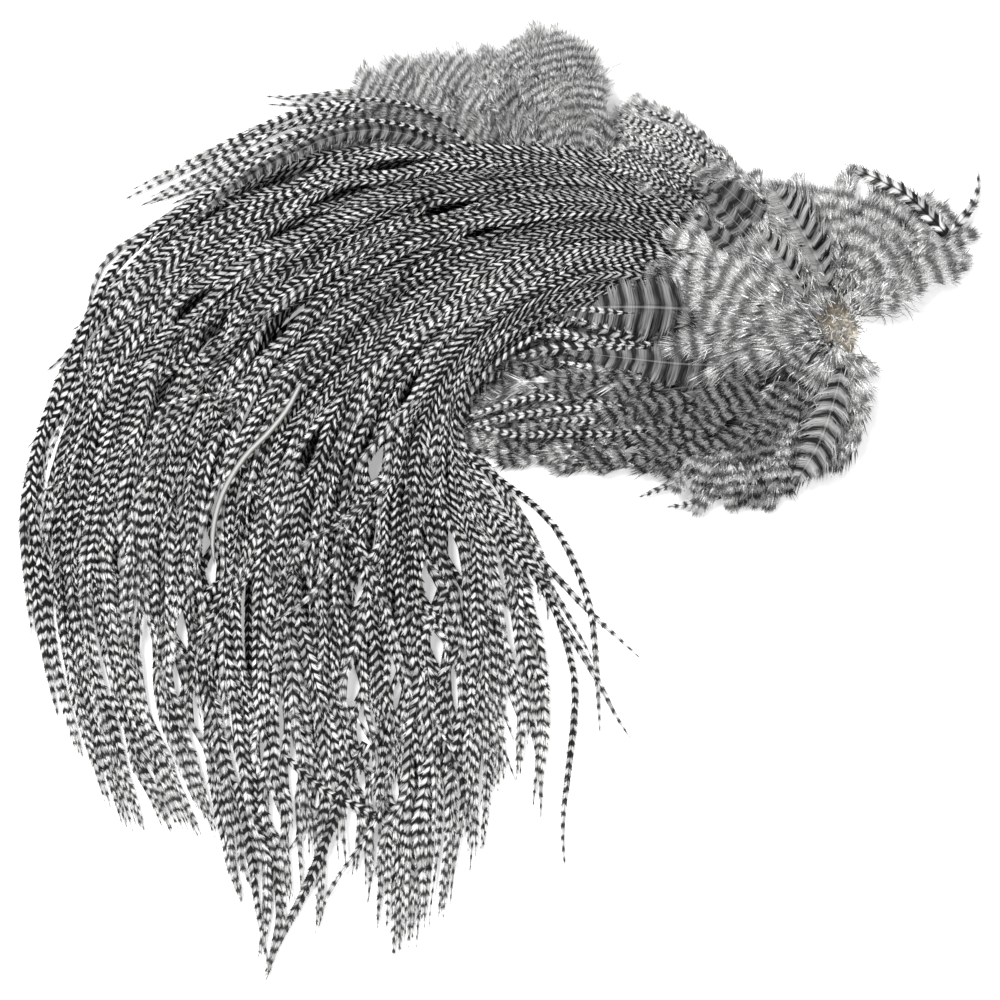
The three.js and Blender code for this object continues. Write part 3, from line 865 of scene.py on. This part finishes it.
def fan_grades(place):
    dark = lerp(0, 0.5, far_from(place, BUTT, 22, 48)) * far_from(place, PALE_MIDDLE, 8, 22)
    return dark, lerp(1, 0.2, far_from(place, PALE_MIDDLE, 12, 30))


def flank_grades(place):
    dark = lerp(1, 0.65, far_from(place, DARK_MIDDLE, 12, 30))
    return dark, lerp(0.5, 0.02, far_from(place, BUTT, 10, 24))


def lobe_grades(place):
    return 0.08, lerp(0.98, 0.66, far_from(place, BUTT, 12, 40))


def tuft_grades(place):
    dark = 0.3 * far_from(place, TUFT_CENTRE, 12, 30) + 0.35 * smooth(swirl(place / 2.4), 0.1, 0.6)
    return dark, lerp(1, 0.4, far_from(place, TUFT_CENTRE, 11, 26))


side_grades = even_grades(0, 0.9)
skirt_grades = even_grades(0.42, 0.25)
inner_grades = even_grades(0.75, 0.05)
arch_grades = even_grades(0.3, 0.3)

# The fan's down: patch, field, count, lanes, rows, grades, lengths, spacing of bars, what sets it apart
FAN_DOWN = [
    ("lobe", FAN, 240, (0.01, 0.42), (-0.1, 0.82), lobe_grades, (7, 13), 5.4, {}),
    ("saddle", FAN, 90, (0.38, 0.56), (0.1, 0.85), fan_grades, (8, 14), 5.6, {}),
    ("saddle", FAN, 80, (0.48, 0.63), (-0.1, 0.34), fan_grades, (13, 20), 5.6, dict(spread=0.22)),
    ("saddle", FAN, 24, (0.48, 0.62), (0.24, 0.42), fan_grades, (9, 15), 5.6, dict(level=(1.15, 1.35))),
    ("saddle", FAN, 56, (0.3, 0.62), (-0.1, 0.22), side_grades, (12, 22), 7.5,
     dict(hairs=90, spread=0.16, stray=0.22, level=(1, 1.3))),
    ("flank", FAN, 200, (0.62, 0.79), (-0.1, 0.72), flank_grades, (6, 12), 3.6, {}),
    ("flank", FAN, 80, (0.8, 0.93), (-0.1, 0.52), flank_grades, (6, 12), 3.6, {}),
    ("flank", FAN, 50, (0.69, 0.76), (0.68, 0.87), inner_grades, (6, 10), 3.6,
     dict(height=4, stray=0.25)),
    ("flank", FAN, 46, (0.9, 0.95), (-0.05, 0.5), side_grades, (5, 8), 5.2, dict(stray=0.2)),
    ("flank", FAN, 45, (0.78, 1), (-0.2, 0.08), side_grades, (7, 12), 7,
     dict(hairs=120, stray=0.3, level=(1.1, 1.4))),
    ("flank", SKIRT, 60, (0.2, 0.75), (0.2, 0.66), skirt_grades, (5, 9), 4, dict(centre=SKIRT_CENTRE)),
    ("flank", SKIRT, 90, (0, 0.93), (-0.1, 0.48), skirt_grades, (5, 9), 4,
     dict(level=(0.7, 1.15), centre=SKIRT_CENTRE)),
    ("flank", INNER, 110, (0, 1), (0.2, 0.96), inner_grades, (7, 11), 3.5, {}),
]


def make_fan(webby_look, bold_look, hackle_look):
    patches = {name: Plumage() for name in ("lobe", "saddle", "flank")}
    lobe, saddle, flank = patches.values()
    pointing, bold = Plumage(), Plumage()
    add_under_feathers(lobe, FAN, 50, (0.04, 0.4), width=8, grade=2, rows=(0.08, 0.66))
    add_under_feathers(saddle, FAN, 45, (0.4, 0.7))
    add_under_feathers(flank, FAN, 70, (0.66, 0.95), length=0.3, width=7, grade=0, rows=(-0.05, 0.42))
    add_under_feathers(flank, INNER, 90, (0, 1), length=0.3, width=7, grade=0, rows=(0.1, 0.8))
    for patch, *where, apart in FAN_DOWN:
        scatter_sprays(patches[patch], *where, **apart)
    for path, width, heights in WEBBY_FEATHERS:
        column = chance.integers(LUCKS)
        add_feather(bold, tilted_line(path, heights), WEBBY.sized(width), None, column)
    for path, width, heights, spacing, tilt, grade in BOLD_FEATHERS:
        kind = BOLD.sized(width, spacing / 3.7)
        add_feather(bold, tilted_line(path, heights, tilt), kind, None, grade * LUCKS)
    for path, width, heights in FLANK_FEATHERS:
        kind = FLANK_HACKLE if width > 3.5 else SMALL_HACKLE
        add_feather(pointing, tilted_line(path, heights), kind.sized(width))
    add_feather(bold, arch_line(8.5, 7.5), ARCH_VANE, None, 3)
    add_loose_hairs(lobe)
    lobe.build("lobe_feathers", webby_look, "body_feather", numbered("saddle_feathers", 1, 5))
    saddle.build("webby_feathers", webby_look, "body_feather", numbered("saddle_feathers", 6, 8))
    flank.build("flank_feathers", webby_look, "body_feather", numbered("saddle_feathers", 10, 12))
    pointing.build("flank_hackles", hackle_look, "barred_hackle", ["saddle_feathers_09"])
    bold.build("large_feathers", bold_look, "body_feather")


def tilted_line(path, heights, tilt=0):
    return raised_line(path, heights, tilt + chance.normal(0, 0.06))


def arch_line(inwards, height):
    """A line that lies so far inside the arch over the curl's start."""
    steps = 70
    heights = height + 1.5 * np.sin(np.linspace(0, math.pi, steps))
    return Line(spline(ARCH, steps) - (0, inwards), heights, -0.2)


def add_loose_hairs(plumage):
    """Loose curly hairs about the butt, and a few past the lobe's lower edge."""
    count = 150
    angle = chance.uniform(0, 2 * math.pi, count)
    ring = chance.uniform(5.5, 24, count)
    roots = BARE_SPOT + toward(angle, ring)
    kept = distance_to_skin(roots) < 3
    for grade in (1, 2):
        some = kept & (chance.uniform(0, 1, count) < 0.6)
        add_wisps(plumage, roots[some], angle[some] + chance.normal(0, 0.5, some.sum()),
                  chance.uniform(6, 13, some.sum()), lerp(5, 9.3, smooth(ring[some], 5, 12)), grade,
                  0.28, end=5)
    count = 70
    lanes, rows = chance.uniform(0.37, 0.64, count), chance.uniform(-0.05, 0.5, count)
    heights = body_height(FAN, lanes, rows, FAN_HEIGHT) + chance.uniform(0.2, 1.2, count)
    add_wisps(plumage, FAN.place(lanes, rows), FAN.heading(lanes, rows) + chance.normal(0, 0.15, count),
              chance.uniform(8, 16, count), heights, 1, 0.32, 0.5, 8.5)
    # short crumpled down on the bare spot, and hairs round its rim
    count = 150
    away = chance.normal(0, 1, (count, 2)) * (3, 4.2)
    add_wisps(plumage, BARE_SPOT + away, chance.uniform(-3.2, 3.2, count), chance.uniform(2.5, 6, count),
              np.full(count, 1.6), 1, 0.22, 2, 1.8)
    count = 90
    turn, ring = chance.uniform(-3.2, 3.2, count), chance.uniform(0.9, 1.5, count)
    roots = BARE_SPOT + toward(turn, ring) * (3.6, 5.2)
    add_wisps(plumage, roots, turn + chance.normal(0, 0.5, count), chance.uniform(4, 8, count),
              2 * ring + 0.6, 1, 0.3, 0.7, 3.6)
    count = 24
    roots = FAN.place(chance.uniform(0, 0.05, count), chance.uniform(0.05, 0.4, count))
    add_wisps(plumage, roots, chance.uniform(-0.6, 0.5, count), chance.uniform(8, 16, count),
              np.full(count, 4.0), 0, 0.3)


def make_crest(webby_look, hackle_look):
    fluff, spotted = Plumage(), Plumage()
    add_under_feathers(fluff, CREST, 24, (0, 1))
    scatter_sprays(fluff, CREST, 110, (-0.05, 0.4), (-0.2, 0.85), lobe_grades, (6, 10), 4.2,
                   stray=0.35, jitter=1, level=(0.9, 1.25))
    scatter_sprays(fluff, CREST, 40, (0.3, 1.1), (0.1, 0.95), arch_grades, (5, 9), 4.2,
                   stray=0.35, jitter=1)
    share = np.linspace(0, 1, 40)
    for _ in range(46):
        start = chance.uniform(-0.3, 0.5)
        along = np.linspace(start, min(start + chance.uniform(0.4, 0.8), 1), 40)
        drift = 0.02 + 1.06 * chance.uniform() ** 0.8 + chance.normal(0, 0.08) * share
        places = CREST.place(drift, along)
        cover = CREST_HEIGHT * pile(along, BODY_PROFILE) * chance.uniform(0.75, 1.15)
        line = Line(places, ground(places) + 1.2 + cover, chance.normal(0, 0.35))
        add_feather(spotted, line, CREST_HACKLE.varied())
    fluff.build("back_fluff", webby_look, "body_feather", ["back_feathers_01"])
    spotted.build("back_hackles", hackle_look, "barred_hackle", ["back_feathers_02"])


def make_tuft(fluff_look):
    tuft = Plumage()
    add_under_feathers(tuft, TUFT, 50, (0.05, 0.95), width=8, rows=(-0.05, 0.45))
    add_under_feathers(tuft, ARCH_FLUFF, 24, (0.1, 0.9), length=0.3, width=7)
    scatter_sprays(tuft, TUFT, 320, (0, 1), (-0.25, 0.62), tuft_grades, (6, 12), 2.9,
                   width=0.24, stray=0.22, centre=TUFT_CENTRE)
    scatter_sprays(tuft, TUFT, 260, (0, 1), (0.3, 0.68), side_grades, (9, 18), 2.9,
                   hairs=80, width=0.16, stray=0.35, level=(0.5, 0.9), centre=TUFT_CENTRE)
    scatter_sprays(tuft, ARCH_FLUFF, 90, (0, 1), (-0.1, 0.85), arch_grades, (7, 12), 2.9,
                   width=0.26, stray=0.3, jitter=0.3, centre=TUFT_CENTRE)
    tuft.build("fluff_tuft", fluff_look, "fluff", numbered("fluff_tuft", 1, 5))


# Feathers that lie apart: each one's path and the height of its root

STRAYS = [
    [[[-10.5, 12], [-1.5, 6.6], [13.5, -6], [21, -18.9], [25.5, -30.9], [27.3, -44.4],
      [27.9, -56.4], [28.5, -69]], 6.5],
    [[[-5.1, -0.9], [4.5, -11.4], [16.5, -23.4], [25.5, -33], [34.5, -41.4], [40.5, -46.8]], 6],
    [[[-6, -0.9], [3, -14.4], [12, -26.4], [18, -41.4], [20.7, -53.4], [20.7, -65.4],
      [18.9, -83.4], [17.4, -98.4], [18, -109.8]], 5.8],
    [[[-5.1, -0.9], [4.5, -14.4], [15, -32.4], [22.5, -44.4], [27.6, -53.4], [33, -63.9],
      [37.5, -70.8]], 5.5],
    [[[-3, -5.4], [7.5, -17.4], [18, -32.4], [24, -42.9], [26.4, -48]], 5.2],
    [[[-7.5, -17.4], [0, -41.4], [7.5, -65.4], [10.5, -80.4], [10.8, -94.8]], 5],
    [[[-10.5, -41.4], [-1.5, -71.4], [3, -83.4]], 4],
    [[[-31.5, 119.4], [-46.5, 123], [-61.5, 122.1], [-72.9, 122.1]], 5],
    [[[-37.5, 117], [-49.5, 118.2], [-64.5, 116.1], [-78, 108.6], [-91.5, 102], [-103.5, 96.6],
      [-115.5, 90.6]], 5.5],
    [[[-49.5, 114], [-67.5, 108.6], [-84, 101.1], [-97.5, 94.8], [-110.4, 88.8]], 5],
    [[[-46.5, 117], [-61.5, 114], [-75, 108.6], [-90, 100.2], [-106.5, 91.8]], 5],
    [[[-87, 93.6], [-102, 85.2], [-109.5, 80.1], [-118.5, 74.7], [-123, 68.1], [-125.1, 60.6],
      [-126, 55.2]], 5],
    [[[-97.5, 78.6], [-112.5, 66.6], [-123, 56.1], [-130.5, 51.6]], 6],
    [[[-115.5, 63.6], [-124.5, 53.1], [-132, 45], [-138.3, 39]], 5],
    [[[-124.5, 39.6], [-132.9, 30.6], [-138, 23.1], [-143.4, 16.5]], 5],
    [[[-58, 108.5], [-72, 103], [-86, 96.5], [-100.5, 89.5]], 4],
    [[[-62, 105.5], [-76, 100.5], [-89, 94], [-101, 87.5]], 4],
    [[[-31.5, 118.2], [-46.5, 121.2], [-58, 120.9], [-69, 121.6]], 4.5],
    [[[-36, 117.5], [-50, 118.6], [-62, 119.6], [-72, 119.6]], 4],
    [[[-69, 105], [-82.5, 99.6], [-94.5, 94.5], [-106.5, 89.7]], 3.5],
    [[[-6, 12], [1.5, 2.1], [7.5, -8.4], [12, -20.4], [12.9, -35.4]], 4.5],
    [[[-40, 119.5], [-57, 118.5], [-76, 111.8], [-94, 103.2], [-112, 94]], 4.5],
    [[[-12, 16], [-4.5, 8], [1.5, -2], [7.5, -14], [10.5, -30]], 6],
    [[[-11, 14], [-2, 6], [5, -6], [11, -18], [13, -36]], 5],
    [[[-13, 12], [-6, 3], [0, -9], [5, -24], [8, -44]], 5.5],
    [[[-9, 15], [0, 4], [7, -8], [12.5, -20], [17, -36]], 4.5],
]
ARCH = [[-1.5, 99.6], [-10.5, 105.6], [-16.5, 111.6], [-25.5, 116.7], [-39, 119.4], [-52.5, 117],
        [-64.5, 111.6], [-76.5, 105.6], [-91.5, 93.6]]
# Hackles that cross each other at the curl's lower end
LOWER_STRAYS = [
    [[-42, -72], [-48, -83.4], [-52.5, -98.4], [-61.5, -119.4], [-69, -134.4], [-71.7, -143.4]],
    [[-66, -76], [-55.5, -85.5], [-38.1, -94.8], [-33, -99.9], [-29, -110], [-27, -124]],
    [[-36, -88], [-40, -98], [-53.1, -117.3], [-56.1, -128.1]],
    [[-80, -84], [-76, -104], [-74, -122], [-71, -141]],
    [[-118, -58], [-110, -74], [-99, -88], [-93, -97]],
    [[-34, -62], [-44, -80], [-56, -92], [-66, -106]],
]
# A bare pale quill on top of the curl
QUILL = [[-60.6, 35.1], [-64.5, 27.6], [-70.5, 20.1], [-76.5, 14.1], [-82.5, 5.1], [-85.5, -2.4],
         [-87, -11.4], [-86.4, -18.9]]
QUILL_SHAPE = Kind(width=1.7, barb_step=5, roof=0.3, tip_ramp=10, root_ramp=6, core_share=1,
                   core_step=3)
STRAY_HACKLE = Kind(width=2.3, barb_step=0.7, root_share=0.8, root_ramp=10)
ARCH_VANE = Kind(width=6, barb_step=0.5, lead=(0.3, 0.3), root_share=0.5, root_ramp=12, tip_ramp=50,
                 roof=0.2, ragged=0.2, splay=0.3, wave=0.5, grade_ends=DARKEST,
                 pitch=((0, 3.3), (50, 3.4)))
ARCH_HACKLE = Kind(width=1.3, barb_step=0.6, root_ramp=10, grade_ends=(60, 8))
SPOTTED = Kind(width=5.8, barb_step=0.5, lead=(0.8, 0.8), root_share=0.8, root_ramp=5, tip_ramp=12,
               roof=0.2, core_share=0.7, ragged=0.15, splay=0.3, wave=0.5, core_step=3,
               grade_ends=(999, 20), pitch=((0, 4), (40, 4.6)))
LOBE_TIP = Kind(width=3.2, barb_step=0.6, lead=(0.9, 0.7), root_share=0.8, root_ramp=4, tip_ramp=14,
                tip_power=0.8, core_step=3, pitch=((0, 4), (40, 4.6)))


def make_strays(material):
    plumage = Plumage()
    share = np.linspace(0, 1, 70)
    for path, height in STRAYS:
        heights = lerp(height, 0.9, smooth(share, 0, 0.55)) + 0.2 * np.sin(share * 9 + height * 7)
        roll = 0.35 * np.sin(share * 8 + height * 11)
        add_feather(plumage, Line(spline(path, 70), heights, roll), STRAY_HACKLE)
    heights = lerp(4.5, 1, smooth(np.linspace(0, 1, 60), 0.2, 0.9))
    for path in LOWER_STRAYS:
        add_feather(plumage, Line(spline(path, 60), heights, chance.normal(0, 0.3)), TOP_HACKLE.varied())
    for inwards, height in ((6.2, 10), (0, 10.5)):
        add_feather(plumage, arch_line(inwards, height), ARCH_HACKLE, None, 0)
    names = [f"hackle_stray_{name}" for name in ("top", "left", "near", "long", "out")]
    plumage.build("stray_hackles", material, "barred_hackle", names + ["tuft_wisp"])


def make_quill(material):
    plumage = Plumage()
    line = raised_line(QUILL, (11.6, 12.4, 9))
    add_core(plumage, line, QUILL_SHAPE, 0, bar_counts(line, QUILL_SHAPE, 0))
    plumage.build("bare_quill", material, "barred_hackle")


def make_single_feathers(material):
    for name, path, kind in (
        ("spotted_feather", [[132, 80], [127, 85.7], [119.5, 92.6], [102, 101.6]], SPOTTED),
        ("lobe_tip_feather", [[133.5, 81], [138.9, 87], [141.6, 92.1], [142.5, 100.2]], LOBE_TIP),
    ):
        plumage = Plumage()
        places = spline(path, 40)
        add_feather(plumage, Line(places, ground(places) + np.linspace(5.5, 1.2, 40)), kind, None, 3)
        plumage.build(f"{name}_vane", material, "barred_hackle", [name])


# Materials

class Value:
    """What a node gives, which can be reckoned with as a number can."""

    def __init__(self, nodes, socket):
        self.nodes = nodes
        self.socket = socket

    def __add__(self, other):
        return self.nodes.math("ADD", self, other)

    def __radd__(self, other):
        return self.nodes.math("ADD", other, self)

    def __sub__(self, other):
        return self.nodes.math("SUBTRACT", self, other)

    def __rsub__(self, other):
        return self.nodes.math("SUBTRACT", other, self)

    def __mul__(self, other):
        return self.nodes.math("MULTIPLY", self, other)

    def __truediv__(self, other):
        return self.nodes.math("DIVIDE", self, other)

    def __abs__(self):
        return self.nodes.math("ABSOLUTE", self)


class Nodes:
    """Short ways to place, feed and link nodes in one tree."""

    def __init__(self, tree):
        self.tree = tree

    def feed(self, socket, value):
        if isinstance(value, Value):
            self.tree.links.new(value.socket, socket)
        else:
            socket.default_value = value

    def node(self, kind, feeds=(), **settings):
        """A node with its settings, its inputs fed by name or number."""
        node = self.tree.nodes.new(kind)
        for key, value in settings.items():
            setattr(node, key, value)
        for label, value in dict(feeds).items():
            self.feed(node.inputs[label], value)
        return node

    def value(self, kind, feeds=(), output=0, **settings):
        return Value(self, self.node(kind, feeds, **settings).outputs[output])

    def values(self, node):
        return {socket.name: Value(self, socket) for socket in node.outputs if socket.name}

    def group_inputs(self):
        return self.values(self.node("NodeGroupInput")).values()

    def math(self, operation, *values):
        return self.value("ShaderNodeMath", enumerate(values), operation=operation)

    def ramp(self, value, low, high, start=0, end=1, kind="SMOOTHSTEP"):
        feeds = enumerate((value, low, high, start, end))
        return self.value("ShaderNodeMapRange", feeds, interpolation_type=kind)

    def line(self, value, start, end):
        return self.ramp(value, 0, 1, start, end, "LINEAR")

    def noise(self, vector, scale, detail):
        return self.value("ShaderNodeTexNoise", {"Vector": vector, "Scale": scale, "Detail": detail})

    def flow(self, side, bars, luck, detail=1):
        """Noise over a vane."""
        return self.noise(self.value("ShaderNodeCombineXYZ", enumerate((side, bars, luck))), 1, detail)

    def mix(self, share, start, end, blend="MIX"):
        feeds = {0: share, 6: start, 7: end}
        return self.value("ShaderNodeMix", feeds, 2, data_type="RGBA", blend_type=blend)

    def group(self, tree, **feeds):
        feeds = {label.replace("_", " "): value for label, value in feeds.items()}
        return self.values(self.node("ShaderNodeGroup", feeds, node_tree=tree))


def new_group(name, inputs, outputs):
    group = bpy.data.node_groups.new(name, "ShaderNodeTree")
    for label, value in inputs.items():
        socket = group.interface.new_socket(label, in_out="INPUT", socket_type="NodeSocketFloat")
        socket.default_value = value
    for label in outputs:
        group.interface.new_socket(label, in_out="OUTPUT", socket_type="NodeSocketFloat")
    return group, Nodes(group)


def vane_group():
    """Where a point is on its feather: side -1 to 1, bars counted along, grade 0 to 1, and luck."""
    group, n = new_group("vane_place", {}, ("Side", "Bars", "Grade", "Luck"))
    split = n.values(n.node("ShaderNodeSeparateXYZ", {0: n.value("ShaderNodeUVMap", uv_map="OFBake")}))
    column = split["X"] * float(KINDS)
    kind = n.math("FLOOR", column)
    n.node("NodeGroupOutput", {
        "Side": (n.math("FRACT", column) - 0.5) * (2 / COLUMN_FILL),
        "Bars": split["Y"] * float(BAR_ROWS),
        "Grade": n.math("FLOOR", kind / float(LUCKS)) / (GRADES - 1),
        "Luck": n.value("ShaderNodeTexWhiteNoise", {"W": kind}, noise_dimensions="1D"),
    })
    return group


def bar_group():
    """Cross bars, 1 on the pale ones, with soft uneven edges."""
    inputs = {"Side": 0, "Bars": 0, "Luck": 0, "Pale Share": 0.5, "Softness": 0.15, "Wobble": 0.1}
    group, n = new_group("cross_bars", inputs, ("Pale",))
    side, bars, luck, share, softness, wobble = n.group_inputs()
    strand = n.flow(side * 0.7, bars * 9, luck * 40)
    patch = n.flow(side * 1.2, bars * 1.3, luck * 90)
    shift = (strand + patch - 1) * (wobble * 2)
    wave = abs(n.math("FRACT", bars + shift) * 2 - 1)
    edge = 1 - share
    n.node("NodeGroupOutput", {"Pale": n.ramp(wave, edge - softness, edge + softness)})
    return group


def streak_group():
    """Fine lines along the barbs, 0 to 1."""
    inputs = {"Side": 0, "Bars": 0, "Luck": 0, "Fineness": 20}
    group, n = new_group("barb_streaks", inputs, ("Streak",))
    side, bars, luck, fineness = n.group_inputs()
    flow = n.flow(side * 0.8, bars * fineness, luck * 55, 2)
    n.node("NodeGroupOutput", {"Streak": n.ramp(flow, 0.3, 0.7)})
    return group


vane_place = vane_group()
cross_bars = bar_group()
barb_streaks = streak_group()


def new_material(name, rough, shine):
    material = bpy.data.materials.new(name)
    material.use_nodes = True
    shader = material.node_tree.nodes["Principled BSDF"]
    shader.inputs["Roughness"].default_value = rough
    shader.inputs["Specular IOR Level"].default_value = shine
    return material, Nodes(material.node_tree), shader.inputs


def feed_grey(n, inputs, tone, blue=0.985):
    """Gives the shader a grey tone that is a little short of blue."""
    grey = n.value("ShaderNodeCombineColor", enumerate((tone, tone, tone)))
    n.feed(inputs["Base Color"], n.mix(1, grey, (1, 1, blue, 1), "MULTIPLY"))


def hackle_material():
    """Crisp bars. On the body of a hackle each pale bar is a grain that ends short of the shaft and
    of the vane's edge, with shade painted where neighbouring hackles overlap it; towards the tip the
    bars run right across, paler and softer."""
    material, n, inputs = new_material("barred_hackle", 0.5, 0.12)
    side, bars, grade, luck = n.group(vane_place).values()
    out = abs(side)
    tip = grade * grade
    # Painted shade: along the shaft and the vane's edge, where neighbours overlap the body, the pale grains
    # are cut back
    painted_overlap_shade = n.math("POWER", abs(out * 2 - 1.05), 3)
    share = n.line(tip, 0.415, 0.6) + (luck - 0.5) * 0.14 - painted_overlap_shade * n.line(grade, 0.3, 0.1)
    softness = n.ramp(grade, 0.5, 1, 0.18, 0.28, "LINEAR") + n.math("FRACT", luck * 7) * 0.1
    pale = n.group(cross_bars, Side=side, Bars=bars, Luck=luck, Pale_Share=share, Softness=softness,
                   Wobble=0.12)["Pale"]
    streak = n.group(barb_streaks, Side=side, Bars=bars, Luck=luck, Fineness=11)["Streak"]
    # Brightness that changes at random along each feather and from one feather to the next
    uneven_brightness = n.flow(side * 0.5, bars * 0.6, luck * 70)
    bright = n.line(luck, 0.4, 0.7) + (tip * 0.11 + streak * 0.16)
    bright = bright * n.ramp(uneven_brightness, 0.32, 0.6, 0.5, 1.1)
    spine = n.ramp(out, 0.05, 0.16, 1, 0) * n.line(grade, 0.95, 0.5)
    feed_grey(n, inputs, (pale * bright + (0.005 + tip * 0.045)) * (1 - spine))
    return material


def down_material(name, dark, pale, softness, spine=0.3, tips=1.2, lucks=(0.3, 1.6), plain=0):
    """Soft bars on grey down. dark and pale give each bar's tone at the darkest and lightest grade,
    spine is how much paler the shaft is, tips how pale the hairs' ends are, lucks the least and the
    most that one feather or hair is paler than the others, and plain how far the bars of the
    lightest grade fade on the vane's left half."""
    material, n, inputs = new_material(name, 0.65, 0.1)
    side, bars, grade, luck = n.group(vane_place).values()
    mask = n.group(cross_bars, Side=side, Bars=bars, Luck=luck, Pale_Share=0.5, Softness=softness,
                   Wobble=0.25)["Pale"]
    if plain:
        mask = n.math("MAXIMUM", mask, n.ramp(side, -0.2, 0.1, plain, 0) * n.ramp(grade, 0.6, 0.9))
    streak = n.group(barb_streaks, Side=side, Bars=bars, Luck=luck, Fineness=22)["Streak"]
    tone = n.line(grade, *dark) * (1 - mask) + n.line(grade, *pale) * mask
    tone = tone * n.line(luck, *lucks) * (0.5 + streak * 0.85)
    out = abs(side)
    feed_grey(n, inputs, tone * n.line(out, 0.75, tips) + n.ramp(out, 0.02, 0.05, spine, 0))
    return material


def quill_material():
    material, n, inputs = new_material("bare_quill", 0.4, 0.4)
    feed_grey(n, inputs, n.ramp(abs(n.group(vane_place)["Side"]), 0.1, 0.9, 0.5, 0.28), 0.97)
    return material


def hide_material():
    material, n, inputs = new_material("dry_hide", 0.7, 0.3)
    place = n.values(n.node("ShaderNodeTexCoord"))["Object"]
    blotch = n.noise(place, 180, 4)
    grain = n.noise(place, 1300, 4)
    tone = n.mix(n.ramp(blotch, 0.42, 0.6), (0.28, 0.24, 0.18, 1), (0.7, 0.65, 0.56, 1))
    n.feed(inputs["Base Color"], n.mix(n.ramp(grain, 0.46, 0.6, 0, 0.75), tone, (0.16, 0.13, 0.09, 1)))
    n.feed(inputs["Roughness"], n.ramp(grain, 0.3, 0.7, 0.55, 0.8))
    crinkle = {"Strength": 0.6, "Distance": 0.0004, "Height": blotch + grain * 0.4}
    n.feed(inputs["Normal"], n.value("ShaderNodeBump", crinkle))
    return material


# The skin

def make_skin(material):
    shape = bmesh.new()
    ring = [shape.verts.new((x * MM, y * MM, 0)) for x, y in skin_edge[:-1]]
    face = shape.faces.new(ring)
    face.normal_update()
    if face.normal.z > 0:
        face.normal_flip()
    bmesh.ops.inset_region(shape, faces=[face], thickness=2 * MM)
    bmesh.ops.triangulate(shape, faces=[face])
    bmesh.ops.subdivide_edges(shape, edges=shape.edges[:], cuts=3, use_grid_fill=True)
    raised = bmesh.ops.extrude_face_region(shape, geom=shape.faces[:])["geom"]
    for vert in raised:
        if isinstance(vert, bmesh.types.BMVert):
            ripple = 0.12 * math.sin(vert.co.x * 900) * math.cos(vert.co.y * 700)
            vert.co.z += (SKIN_THICKNESS + ripple) * MM
    bmesh.ops.recalc_face_normals(shape, faces=shape.faces[:])
    mesh = bpy.data.meshes.new("saddle_skin")
    shape.to_mesh(mesh)
    shape.free()
    finish_piece("saddle_skin", mesh, material, ["skin"])


# Camera, floor and light

LENS, SENSOR = 85, 36
FRAME_WIDTH = 300 * MM
VIEW_CENTRE = (-1.5 * MM, 0.6 * MM)
# Lamps: name, place, size and power
LAMPS = [("key", (-0.55, 0.6, 1.1), 0.5, 18), ("fill", (0.8, -0.5, 1), 0.9, 6)]
WHITE = (1, 1, 1, 1)


def make_stage():
    data = bpy.data.cameras.new("camera")
    data.lens = LENS
    data.sensor_width = SENSOR
    data.clip_start = 0.01
    camera = add_to_scene("camera", data)
    camera.location = (*VIEW_CENTRE, FRAME_WIDTH * LENS / SENSOR + 3 * MM)
    bpy.context.scene.camera = camera

    sheet = bmesh.new()
    bmesh.ops.create_grid(sheet, x_segments=1, y_segments=1, size=3)
    mesh = bpy.data.meshes.new("floor")
    sheet.to_mesh(mesh)
    sheet.free()
    paint, _, inputs = new_material("pale_floor", 0.9, 0)
    inputs["Base Color"].default_value = (0.9, 0.9, 0.9, 1)
    inputs["Emission Color"].default_value = WHITE
    inputs["Emission Strength"].default_value = 0.35
    mesh.materials.append(paint)
    floor = add_to_scene("floor", mesh)
    floor.location.z = -0.1 * MM

    world = bpy.data.worlds.new("studio")
    bpy.context.scene.world = world
    world.use_nodes = True
    sky = world.node_tree.nodes["Background"].inputs
    sky["Color"].default_value = WHITE
    sky["Strength"].default_value = 0.5
    for name, place, size, power in LAMPS:
        lamp = bpy.data.lights.new(name, "AREA")
        lamp.shape = "DISK"
        lamp.size = size
        lamp.energy = power
        light = add_to_scene(name, lamp)
        light.location = place
        light.rotation_euler = (-light.location).to_track_quat("-Z", "Y").to_euler()
    bpy.context.scene.view_settings.view_transform = "Standard"
    bpy.context.scene.view_settings.look = "None"


make_stage()
hackle_look = hackle_material()
webby_look = down_material("webby_feather", (0.015, 0.22), (0.26, 0.9), 0.3)
bold_look = down_material("large_feather", (0.02, 0.004), (0.25, 0.56), 0.42, 0.1,
                          lucks=(0.7, 1.2), plain=0.9)
fluff_look = down_material("fluff", (0.04, 0.15), (0.26, 0.68), 0.3, tips=1.5)
make_skin(hide_material())
make_curl(hackle_look)
make_fan(webby_look, bold_look, hackle_look)
make_crest(webby_look, hackle_look)
make_tuft(fluff_look)
make_strays(hackle_look)
make_quill(quill_material())
make_single_feathers(hackle_look)
